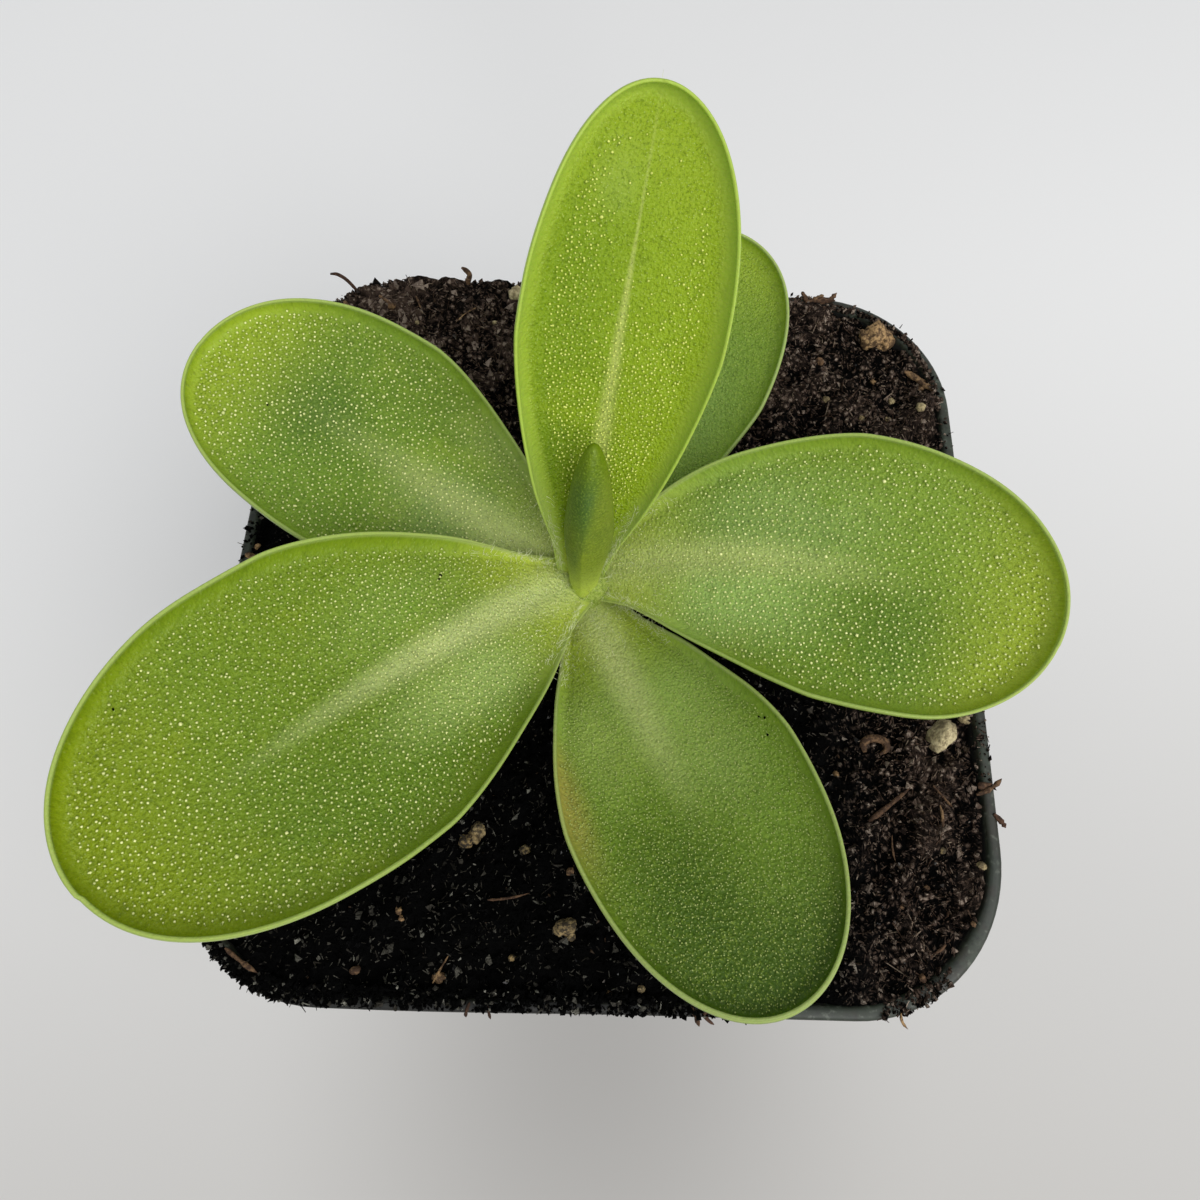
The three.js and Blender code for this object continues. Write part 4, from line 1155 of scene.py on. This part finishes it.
def smooth_path(points, count):
    """A curve through points, with its slope at each from the points on either side."""
    slope = np.gradient(points, axis=0)
    at = np.linspace(0, len(points) - 1, count)
    i = np.minimum(at.astype(int), len(points) - 2)
    s = (at - i)[:, None]
    first, last = points[i], points[i + 1]
    return ((1 + 2 * s) * (1 - s) ** 2 * first + s * (1 - s) ** 2 * slope[i]
            + s ** 2 * (3 - 2 * s) * last + s ** 2 * (s - 1) * slope[i + 1])


# ---------------------------------------------------------------- leaves


def midrib(leaf):
    """Frames along the midrib: points, side directions and upper normals. The way ahead rises and
    turns in even steps, side and normal are rolled about it, and each point is a step ahead."""
    t = np.linspace(0, 1, MIDRIB_STEPS + 1)
    up = np.radians(leaf["rise"] + (leaf["fall"] - leaf["rise"]) * t)
    around = np.radians(leaf["azimuth"] + leaf["sweep"] * t)
    roll = np.radians(leaf["roll"] + leaf["twist"] * t)[:, None]
    ahead = np.stack([np.cos(up) * np.cos(around), np.cos(up) * np.sin(around), np.sin(up)], -1)
    side = np.stack([-np.sin(around), np.cos(around), np.zeros_like(t)], -1)
    normal = np.cross(ahead, side)
    foot = np.array(leaf["foot"]) + [0, 0, POT_HEIGHT]
    step = leaf["length"] / MIDRIB_STEPS
    points = foot + np.vstack([np.zeros(3), np.cumsum(ahead[:-1] * step, axis=0)])
    return (points, side * np.cos(roll) + normal * np.sin(roll),
            normal * np.cos(roll) - side * np.sin(roll))


def place_on(leaf, x, y, h):
    """Points on the leaf: x along the midrib, straight on behind its foot, y to the side, h above
    the blade's middle surface, which bends up to the sides as the square of y."""
    at = np.linspace(0, leaf["length"], MIDRIB_STEPS + 1)
    frames = midrib(leaf)
    point, side, normal = [np.stack([np.interp(x, at, rows[:, i]) for i in range(3)], -1)
                           for rows in frames]
    point = point + np.minimum(x, 0)[..., None] * unit(frames[0][1] - frames[0][0])
    lift = leaf["trough"] * y ** 2 / (leaf["width"] / 2) + h
    return point + y[..., None] * side + lift[..., None] * normal


def half_width(leaf, t):
    """The margin's distance from the midrib at the share t of the length: it swells from a narrow
    foot to its widest, then closes in a rounded tip."""
    widest = leaf.get("widest", WIDEST_AT)
    swell = 1 - (1 - leaf["base"]) * (1 - np.minimum(t / widest, 1)) ** SHOULDER
    past = np.clip((t - widest) / (1 - widest), 0, 1)
    close = np.sqrt(np.maximum(1 - past ** leaf.get("point", TIP_POWER), 0))
    return leaf["width"] / 2 * np.where(t < widest, swell, close)


def spine_at(leaf, t):
    """Where on the midrib the row to the margin at t starts: it lags behind near the tip, so that
    the rows fan out round it."""
    return leaf["length"] * t * (1 - FAN * t ** 3)


def leaf_named(name):
    """The leaf of this name."""
    return next(leaf for leaf in LEAVES if leaf["name"] == name)


def leaf_seed(leaf):
    """A seed of its own for each leaf."""
    return 100 + 10 * [other["name"] for other in LEAVES].index(leaf["name"])


def wander(leaf, t, side, cell, seed):
    """Noise along the margin, different on the two sides and quiet at the foot."""
    return noise(leaf["length"] * t, 500 + 40 * side, cell, leaf_seed(leaf) + seed) * smooth(t, 0, 0.2)


def relief(leaf, x, y, share, face):
    """How far a face stands off the plain blade: a shallow groove over the midrib and a keel under
    it, both fading to the tip, low swells in the blade, and a wave that grows to the margin."""
    along = np.clip(x / leaf["length"], 0, 1)
    size = leaf["width"] / 25
    fade = (1 - smooth(along, 0.25, 0.85)) * smooth(along, 0.0, 0.06)
    near = np.exp(-(y / size) ** 2)
    ridge = np.where(face > 0, -0.22, -0.35) * size * near * fade
    swell = 0.12 * size * noise(x + 300, y + 300, 4.2, leaf_seed(leaf)) * (1 - share ** 4)
    fine = 0.035 * noise(x + 300, y + 300, 1.3, leaf_seed(leaf) + 1) * (1 - share ** 4)
    side = np.where(y >= 0, 1, -1)
    wave = 0.4 * size * wander(leaf, along, side, 8.0, 2) * share ** 2 * (1 - smooth(along, 0.86, 1))
    return ridge + swell + fine + wave


def lip_profile(leaf, turn):
    """The lip in section, for each turn: it leaves the blade flat and curls up and over, tighter
    and thinner towards its end. The slope is the roll times a power of the share of the arc, and
    the way out and up are its cosine and sine added up. Returns slope, out, up and half thickness."""
    t = np.sin(turn)
    side = np.where(turn < np.pi / 2, 1.0, -1.0)
    grown = smooth(t, 0, LIP_FULL_FROM)
    arc_length = LIP_ARC * leaf.get("lip", 1.0) * (1 + 0.12 * wander(leaf, t, side, 7.0, 3))
    arc_length = arc_length * (LIP_AT_BASE + (1 - LIP_AT_BASE) * grown)
    roll = np.radians(LIP_ROLL_AT_BASE + (LIP_ROLL - LIP_ROLL_AT_BASE) * grown)
    share = np.linspace(0, 1, LIP_STEPS + 1)[None]
    slope = roll * share ** LIP_GATHER
    between = (slope[:, 1:] + slope[:, :-1]) / 2
    step = arc_length / LIP_STEPS
    out = np.hstack([0 * t, np.cumsum(step * np.cos(between), 1)])
    up = np.hstack([0 * t, np.cumsum(step * np.sin(between), 1)])
    half = (BLADE_EDGE + (LIP_EDGE - BLADE_EDGE) * share ** 0.8) / 2
    return slope, out, up, half + 0 * out


def leaf_surface(leaf):
    """The blade as a U-shaped grid for each face. A turn from 0 to half a circle runs round the
    margin from one side of the foot by the tip to the other side. At each turn a row runs from
    the midrib out over the blade and up round the lip, whose end is rounded over to the other
    face. Returns x, y, height, curl and distance inside the margin, for both faces and the end."""
    turn = np.linspace(0, np.pi, TURN_STEPS + 1)[:, None]
    t = np.sin(turn)
    side = np.where(turn < np.pi / 2, 1.0, -1.0)
    spine = spine_at(leaf, t)
    dx = leaf["length"] * t - spine
    dy = side * half_width(leaf, t)
    reach = np.hypot(dx, dy)
    ox, oy = dx / reach, dy / reach
    spine = spine - HEEL * (1 - smooth(t, 0, HEEL_TO))
    reach = reach * (1 + 0.012 * wander(leaf, t, side, 7.0, 4))
    slope, lip_out, lip_up, half = lip_profile(leaf, turn)
    widest = (lip_out + half * np.sin(slope)).max(1, keepdims=True)
    centre = reach - widest
    share = np.linspace(0, 1, BLADE_STEPS, endpoint=False)[None]
    blade_out = centre * share
    grids = []
    for face in (1, -1):
        x, y = spine + ox * blade_out, oy * blade_out
        h = face * (BLADE_MIDRIB + (BLADE_EDGE - BLADE_MIDRIB) * share ** 2) / 2
        h = h + relief(leaf, x, y, share + 0 * x, face)
        lifted = relief(leaf, spine + ox * centre, oy * centre, 1 + 0 * centre, face)
        out = centre + lip_out - face * half * np.sin(slope)
        up = lip_up + face * half * np.cos(slope) + lifted
        curl = np.hstack([0 * x, np.linspace(0, 1, LIP_STEPS + 1)[None] + 0 * out])
        inward = np.hstack([reach - blade_out, np.maximum(reach - out, 0)])
        grids.append((np.hstack([x, spine + ox * out]), np.hstack([y, oy * out]),
                      np.hstack([h, up]), curl, inward))
    over = np.pi * np.arange(1, LIP_END_STEPS + 1)[None] / (LIP_END_STEPS + 1)
    tilt, edge = slope[:, -1:], half[:, -1:]
    end_out = centre + lip_out[:, -1:] + edge * (np.sin(over) * np.cos(tilt)
                                                 - np.cos(over) * np.sin(tilt))
    end_up = lip_up[:, -1:] + lifted + edge * (np.sin(over) * np.sin(tilt)
                                               + np.cos(over) * np.cos(tilt))
    ends = (spine + ox * end_out, oy * end_out, end_up, 1 + 0 * end_out, 0 * end_out)
    return grids[0], grids[1], ends


def build_leaf(leaf, material):
    """Both faces of the blade and the rounded end of its lip as one closed skin."""
    upper, lower, ends = leaf_surface(leaf)
    columns, rows = upper[0].shape
    x, y, h, curl, inward = [np.hstack([a, e, b[:, ::-1]]) for a, e, b in zip(upper, ends, lower)]
    face = np.hstack([np.ones_like(upper[0]), np.zeros_like(ends[0]), np.zeros_like(lower[0])])
    width = x.shape[1]
    index = np.arange(columns * width).reshape(columns, width)
    mirror = index[::-1]
    half = columns // 2
    index[half + 1:, 0] = mirror[half + 1:, 0]
    index[half + 1:, -1] = mirror[half + 1:, -1]
    points = place_on(leaf, x.ravel(), y.ravel(), h.ravel())
    base_left = np.stack([index[0, :rows], index[0, ::-1][:rows]])
    base_right = np.stack([index[-1, :rows], index[-1, ::-1][:rows]])
    cap = index[0, rows - 1:rows + LIP_END_STEPS + 1][None]
    cap_right = index[-1, rows - 1:rows + LIP_END_STEPS + 1][::-1][None]
    faces = [grid_faces(index), grid_faces(base_left)[:, ::-1], grid_faces(base_right),
             cap[:, ::-1], cap_right[:, ::-1]]
    face[:, rows:rows + LIP_END_STEPS] = 0.5
    fields = {"flat": np.stack([x, y, 3 * face], -1).reshape(-1, 3), "inward": inward.ravel(),
              "along": np.clip(x / leaf["length"], 0, 1).ravel(), "curl": curl.ravel(),
              "upper": face.ravel()}
    points, faces, fields = without_unused(points, faces, fields)
    return mesh_piece(leaf["name"] + "_blade", points, faces, material,
                      leaf["name"], fields)


def without_unused(points, faces, fields):
    """The points that faces use, renumbered, with their fields."""
    used = np.unique(np.concatenate([f.ravel() for f in faces]))
    number = np.zeros(len(points), int)
    number[used] = np.arange(len(used))
    return points[used], [number[f] for f in faces], {k: v[used] for k, v in fields.items()}


def row_of(leaf, x, y):
    """The row that a place on the flat blade lies on, as the share t of its margin point along
    the length, and its share of the way out along the row, found by halving."""
    low, high = np.zeros_like(x), np.ones_like(x)
    for _ in range(30):
        t = (low + high) / 2
        spine = spine_at(leaf, t)
        out = np.abs(y) / np.maximum(half_width(leaf, t), 1e-6)
        short = spine + (leaf["length"] * t - spine) * out < x
        low, high = np.where(short, t, low), np.where(short, high, t)
    return t, np.abs(y) / np.maximum(half_width(leaf, t), 1e-6)


def on_upper_face(leaf, x, y):
    """Points on the upper face of the blade and how far each lies inside the start of the lip. Just
    past that start they climb the lip, whose slope grows with its arc, so that its rise grows as
    the square of the way out."""
    t, out = row_of(leaf, x, y)
    spine = spine_at(leaf, t)
    reach = np.hypot(leaf["length"] * t - spine, half_width(leaf, t))
    turn = np.where(y >= 0, np.arcsin(t), np.pi - np.arcsin(t))[:, None]
    slope, lip_out, _, half = lip_profile(leaf, turn)
    lip = (lip_out + half * np.sin(slope)).max(1)
    share = np.clip(out * reach / np.maximum(reach - lip, 0.1), 0, 1)
    h = (BLADE_MIDRIB + (BLADE_EDGE - BLADE_MIDRIB) * share ** 2) / 2
    room = (1 - out) * reach - lip
    past = np.clip(-room, 0, LIP_CLIMB_TO)
    climb = LIP_CLIMB * past ** 2 * slope[:, -1] / (LIP_ARC * leaf.get("lip", 1.0))
    h = h + relief(leaf, x, y, share, 1) + climb
    return place_on(leaf, x, y, h), room


def upper_frame(leaf, x, y):
    """Points on the upper face, its normals there, and how far inside the lip they lie. The normal
    is square to two short steps over the face."""
    points, room = on_upper_face(leaf, x, y)
    forward = on_upper_face(leaf, x + 0.15, y)[0] - points
    aside = on_upper_face(leaf, x, y + 0.15)[0] - points
    return points, unit(np.cross(forward, aside)), room


def gland_places(leaf, rng):
    """Places of glands on the flat blade: a six-sided lattice, each moved a little at random."""
    pitch = leaf["pitch"]
    rows = np.arange(-leaf["width"] / 2, leaf["width"] / 2, pitch * math.sqrt(3) / 2)
    steps = np.arange(1.2, leaf["length"], pitch)
    x = (steps[None] + pitch / 2 * (np.arange(len(rows)) % 2)[:, None]).ravel()
    y = np.repeat(rows, len(steps))
    stray = leaf.get("stray", 0.17) * pitch
    x = x + rng.normal(0, stray, len(x))
    y = y + rng.normal(0, stray, len(y))
    inside = (x < 0.985 * leaf["length"]) & (np.abs(y) < leaf["width"] / 2)
    return x[inside], y[inside]


def build_glands(leaf, material):
    """Stalked glands: a thin stalk square to the upper face, with a droplet on its end. They are
    sparser and finer at the foot, end a little way up the lip, and leave the middle of the blade
    bare past some share of its length."""
    rng = np.random.default_rng(leaf_seed(leaf) + 5)
    x, y = gland_places(leaf, rng)
    points, normals, room = upper_frame(leaf, x, y)
    room = room - leaf.get("clear", GLAND_CLEAR)
    chance = smooth(room, 0, GLAND_FADE) * (0.35 + 0.65 * smooth(x, 4, 14))
    middle = 1 - smooth(np.abs(y + 1.0) / leaf["width"], 0.16, 0.3)
    bare = leaf.get("bare", GLAND_BARE)
    chance *= 1 - 0.95 * middle * smooth(x / leaf["length"], bare - 0.15, bare + 0.1)
    kept = rng.uniform(size=len(x)) < chance
    points, normals, x, y = points[kept], normals[kept], x[kept], y[kept]
    count = len(points)
    size = GLAND_RADIUS * leaf["gland"] * rng.uniform(0.65, 1.2, count)
    size *= 1 + 0.5 * (rng.uniform(size=count) > 0.985)
    size *= 0.7 + 0.3 * smooth(x, 4, 18)
    lean = unit(normals + rng.normal(0, 0.2, (count, 3)))
    tall = STALK_HEIGHT * leaf["gland"] * rng.uniform(0.7, 1.2, count)
    heads = points + (tall + 0.5 * size)[:, None] * lean
    balls, head_faces = scattered_balls(rng, heads, size[:, None] * [[1, 1, 0.95]], 4, 3, 0.05)
    # How pale each head and stalk is drawn, by patches and one by one: partly their own paleness,
    # partly a painted glint.
    wet = 0.9 + 0.25 * noise(x + 200, y + 200, 6.0, leaf_seed(leaf) + 6)
    paleness_and_painted_glint = leaf["paleness_and_painted_glint"] * wet * rng.uniform(0.6, 1.15, count)
    stalks, stalk_faces = spikes(points - 0.03 * normals, heads,
                                 np.full(count, STALK_RADIUS * leaf["gland"]))
    everything, faces, tint = joined([(balls, head_faces, spread(paleness_and_painted_glint, balls)),
                                      (stalks, stalk_faces, spread(0.9 * paleness_and_painted_glint, stalks))])
    return mesh_piece(leaf["name"] + "_glands", everything, faces, material,
                      fields={"tint": tint})


# Specks of peat that lie on the leaves: the leaf, x along it, y to its left, and half size.
SPECKS = [
    ("leaf_left", 38.7, 2.0, 0.13), ("leaf_front_left", 16.1, -6.3, 0.15),
    ("leaf_front_left", 16.5, -6.0, 0.1), ("leaf_front", 24.5, 10.5, 0.1),
    ("leaf_front", 26.1, 9.9, 0.13), ("leaf_front", 24.0, 10.1, 0.09),
    ("leaf_front_left", 46.0, -10.2, 0.12),
]


def build_specks(material):
    """Specks of peat on the leaves: small lumpy balls, half sunk in the upper face."""
    rng = np.random.default_rng(41)
    centres = np.vstack([upper_frame(leaf_named(name), np.array([x]), np.array([y]))[0]
                         for name, x, y, _ in SPECKS])
    half = np.array([row[3] for row in SPECKS])
    sizes = half[:, None] * rng.uniform(0.5, 1.5, (len(half), 3))
    points, faces = lumpy_balls(rng, centres, sizes, 8, 6, 0.8)
    return mesh_piece("leaf_specks", points, faces, material,
                      fields={"tint": np.zeros(len(points))})


# ---------------------------------------------------------------- crown and hairs


def build_crown(material):
    """The crown's profile turned about its axis: a blunt stub in the soil, a swollen neck and a
    taper to a blunt top, with low lumps where the leaves leave it."""
    knots_z = [-STUB_DEPTH, -STUB_DEPTH + 0.2, -STUB_DEPTH + 2, -SOIL_DROP - 1, CROWN_NECK,
               0.6 * CROWN_TOP, CROWN_TOP - 0.9, CROWN_TOP - 0.3, CROWN_TOP]
    knots_r = [0.3, 0.9, STUB_RADIUS, CROWN_NECK_RADIUS, 1.15 * CROWN_NECK_RADIUS,
               CROWN_NECK_RADIUS, 1.4 * CROWN_TOP_RADIUS, 0.9 * CROWN_TOP_RADIUS, 0.2]
    z = np.unique(np.concatenate([np.linspace(-STUB_DEPTH, CROWN_TOP, 44), knots_z]))
    around = 2 * np.pi * np.arange(48) / 48
    radius = np.interp(z, knots_z, knots_r)[:, None]
    radius = radius * (1 + 0.06 * np.sin(3 * around + 0.7 * z[:, None]) * smooth(z, -6, 0)[:, None])
    rings = np.stack([CROWN_X + radius * np.cos(around), CROWN_Y + radius * np.sin(around),
                      POT_HEIGHT + z[:, None] + 0 * radius], -1)
    index = np.arange(rings.shape[0] * 48).reshape(-1, 48)
    ends = np.array([[CROWN_X, CROWN_Y, POT_HEIGHT - STUB_DEPTH],
                     [CROWN_X, CROWN_Y, POT_HEIGHT + CROWN_TOP]])
    points = np.vstack([rings.reshape(-1, 3), ends])
    return mesh_piece("crown_stem", points, capped_faces(index), material, "crown")


def hair_paths(rng, starts, lean, length, bend):
    """Hairs from their roots: straight out at first, then bent by the square of the way along."""
    s = np.linspace(0, 1, HAIR_STEPS)[None, :, None]
    curl = rng.normal(0, bend, (len(starts), 1, 3)) + [[[0, 0, -0.2]]]
    return starts[:, None] + length[:, None, None] * (s * lean[:, None] + s ** 2 * curl)


def build_hairs(material):
    """Hairs of the leaf bases: short ones all over the foot of each blade, thinning out along it,
    longer ones along the margins there, a fringe on the crown, and one long hair at the tip of
    the back leaf. All are thin tapered tubes."""
    rng = np.random.default_rng(31)
    paths = []
    crown = np.array([CROWN_X, CROWN_Y, POT_HEIGHT])
    for leaf in LEAVES[:-1]:
        count = HAIRS_PER_LEAF
        t = HAIRS_FROM + HAIRS_OVER * rng.uniform(size=count) ** 1.1
        side = rng.choice([-1.0, 1.0], count)
        at_margin = rng.uniform(size=count) < 0.5
        out = np.where(at_margin, rng.uniform(0.84, 1.0, count), rng.uniform(0, 0.9, count))
        x, y = leaf["length"] * t, side * out * half_width(leaf, t)
        starts, normals, _ = upper_frame(leaf, x, y)
        away = unit((starts - crown) * [1, 1, 0])
        lean = unit(normals + 0.35 * away + rng.normal(0, 0.35, (count, 3)))
        length = np.where(at_margin, rng.uniform(0.5, 1.3, count), rng.uniform(0.2, 0.6, count))
        paths.append(hair_paths(rng, starts, lean, length, 0.1))
    count = CROWN_HAIRS
    around = rng.uniform(0, 2 * np.pi, count)
    high = rng.uniform(1.5, CROWN_TOP, count)
    radius = np.interp(high, [1.5, 0.6 * CROWN_TOP, CROWN_TOP], [2.7, 2.3, 0.6])
    spoke = np.stack([np.cos(around), np.sin(around), 0 * around], -1)
    starts = crown + radius[:, None] * spoke + high[:, None] * [0, 0, 1]
    lean = unit(spoke + rng.normal(0, 0.4, (count, 3)) + [0, 0, 0.8])
    paths.append(hair_paths(rng, starts, lean, rng.uniform(0.4, 1.3, count), 0.3))
    back = leaf_named("leaf_back")
    tip, _, _ = upper_frame(back, np.array([0.995 * back["length"]]), np.array([0.0]))
    paths.append(hair_paths(rng, tip, np.array([[-0.25, 0.6, 0.7]]), np.array([1.6]), 0.2))
    paths = np.concatenate(paths)
    radii = rng.uniform(0.02, 0.033, (len(paths), 1)) * np.linspace(1, 0.4, HAIR_STEPS)
    points, faces = tubes(paths, radii, 3)
    tint = spread(rng.uniform(0.3, 1.0, len(paths)), points)
    return mesh_piece("leaf_base_hairs", points, faces, material,
                      fields={"tint": tint})


# ---------------------------------------------------------------- stage


def matt_paper():
    """Matt white paper: it scatters light evenly. Its colour is painted greyer towards the front and
    the right, as painted shade, and darker in a soft patch in front of the pot, as a painted shadow of
    the pot."""
    made, tree = empty_material("matt_paper")
    place = add(tree, "TexCoord").outputs["Object"]
    back = add(tree, "VectorMath", {"operation": "DOT_PRODUCT"}, i0=place, i1=(-0.2, 1.0, 0.0))
    right = add(tree, "VectorMath", {"operation": "DOT_PRODUCT"}, i0=place, i1=(0.9, 0.5, 0.0))
    shade = add(tree, "Mapping", Vector=place, Location=(0.0, 0.98, 0.0), Scale=(20.0, 17.0, 0.0))
    away = add(tree, "VectorMath", {"operation": "LENGTH"}, i0=shade)
    colour = coats(tree, "#c1beba", [
        # Painted shade: lighter to the back, greyer to the front and the right.
        ("#fdfdfd", back, -0.17, 0.11, 0.0, 1.0),
        ("#d4d4d4", right, 0.0, 0.08, 0.0, 0.25),
        # Painted shadow: a soft dark patch on the floor in front of the pot.
        ("#8f8c89", away, 0.0, 1.3, 0.5, 0.0),
    ])
    return finished(made, Base_Color=colour, IOR=1.45, Roughness=0.9)


def build_stage():
    """A pale table, a broad soft light from the front right and above, and a pale sky."""
    mesh = bpy.data.meshes.new("table_top")
    corners = [(x * TABLE_REACH, y * TABLE_REACH, 0) for x, y in ((-1, -1), (1, -1), (1, 1), (-1, 1))]
    mesh.from_pydata(corners, [], [(0, 1, 2, 3)])
    mesh.materials.append(matt_paper())
    table = bpy.data.objects.new("table_top", mesh)
    bpy.context.scene.collection.objects.link(table)

    light = bpy.data.lights.new("window", "AREA")
    light.shape = "RECTANGLE"
    light.size = WINDOW_SIDE
    light.size_y = WINDOW_SIDE
    light.energy = WINDOW_WATTS
    light.color = WINDOW_COLOUR
    window = bpy.data.objects.new("window", light)
    place_facing(window, WINDOW_PLACE, WINDOW_AIM)
    window.visible_camera = False
    bpy.context.scene.collection.objects.link(window)

    world = bpy.data.worlds.new("pale_room")
    world.use_nodes = True
    sky = world.node_tree.nodes["Background"]
    sky.inputs["Color"].default_value = linear(SKY_COLOUR)
    sky.inputs["Strength"].default_value = SKY_STRENGTH
    bpy.context.scene.world = world
    bpy.context.scene.view_settings.view_transform = "Standard"


def place_facing(thing, place, target):
    """Puts a light at a place and aims it at a target, both in metres."""
    thing.location = place
    thing.rotation_euler = (Vector(target) - Vector(place)).to_track_quat("-Z", "Y").to_euler()


def build_camera():
    """The camera looks at its target from an azimuth and elevation, rolled about its own axis."""
    az, el, roll = (math.radians(a) for a in (VIEW_AZIMUTH, VIEW_ELEVATION, VIEW_ROLL))
    back = Vector((math.sin(az) * math.cos(el), -math.cos(az) * math.cos(el), math.sin(el)))
    right = Vector((math.cos(az), math.sin(az), 0))
    up = back.cross(right)
    across = math.cos(roll) * right + math.sin(roll) * up
    upright = math.cos(roll) * up - math.sin(roll) * right
    place = (Vector(VIEW_TARGET) + VIEW_DISTANCE * back) * MM
    data = bpy.data.cameras.new("camera")
    data.lens = VIEW_LENS
    data.sensor_width = VIEW_SENSOR
    data.shift_x, data.shift_y = VIEW_SHIFT
    data.clip_start = 0.005
    camera = bpy.data.objects.new("camera", data)
    camera.matrix_world = Matrix.Translation(place) @ Matrix(
        (across, upright, back)).transposed().to_4x4()
    bpy.context.scene.collection.objects.link(camera)
    bpy.context.scene.camera = camera


# ---------------------------------------------------------------- assembly

build_camera()
build_stage()
build_pot(pot_polypropylene())
soil_peat = peat("soil_peat", "#020202", "#5c4c42", "#aa998a")
build_soil(soil_peat)
build_crumbs("peat_crumbs", CRUMB_COUNT, 21, soil_peat, 0.6)
build_crumbs("wet_crumbs", WET_COUNT, 25, wet_humus(), 0.26)
build_spill(soil_peat)
build_fibres(peat("fibre_peat", "#040303", "#5e4a3d", "#ae9a86"))
build_grains("perlite_grains", PERLITE_GRAINS, perlite(), 0.36)
scrap_bark = bark("scrap_bark", "#35241a", "#5a4030", "#bf9c6e")
build_grains("tan_scraps", TAN_SCRAPS, scrap_bark, 0.42)
build_slivers(scrap_bark)
build_curls(scrap_bark)
build_crown(crown_tissue())
for leaf in LEAVES:
    build_leaf(leaf, leaf_epidermis(leaf))
    build_glands(leaf, gland_mucilage(leaf))
build_specks(soil_peat)
build_hairs(leaf_hair())
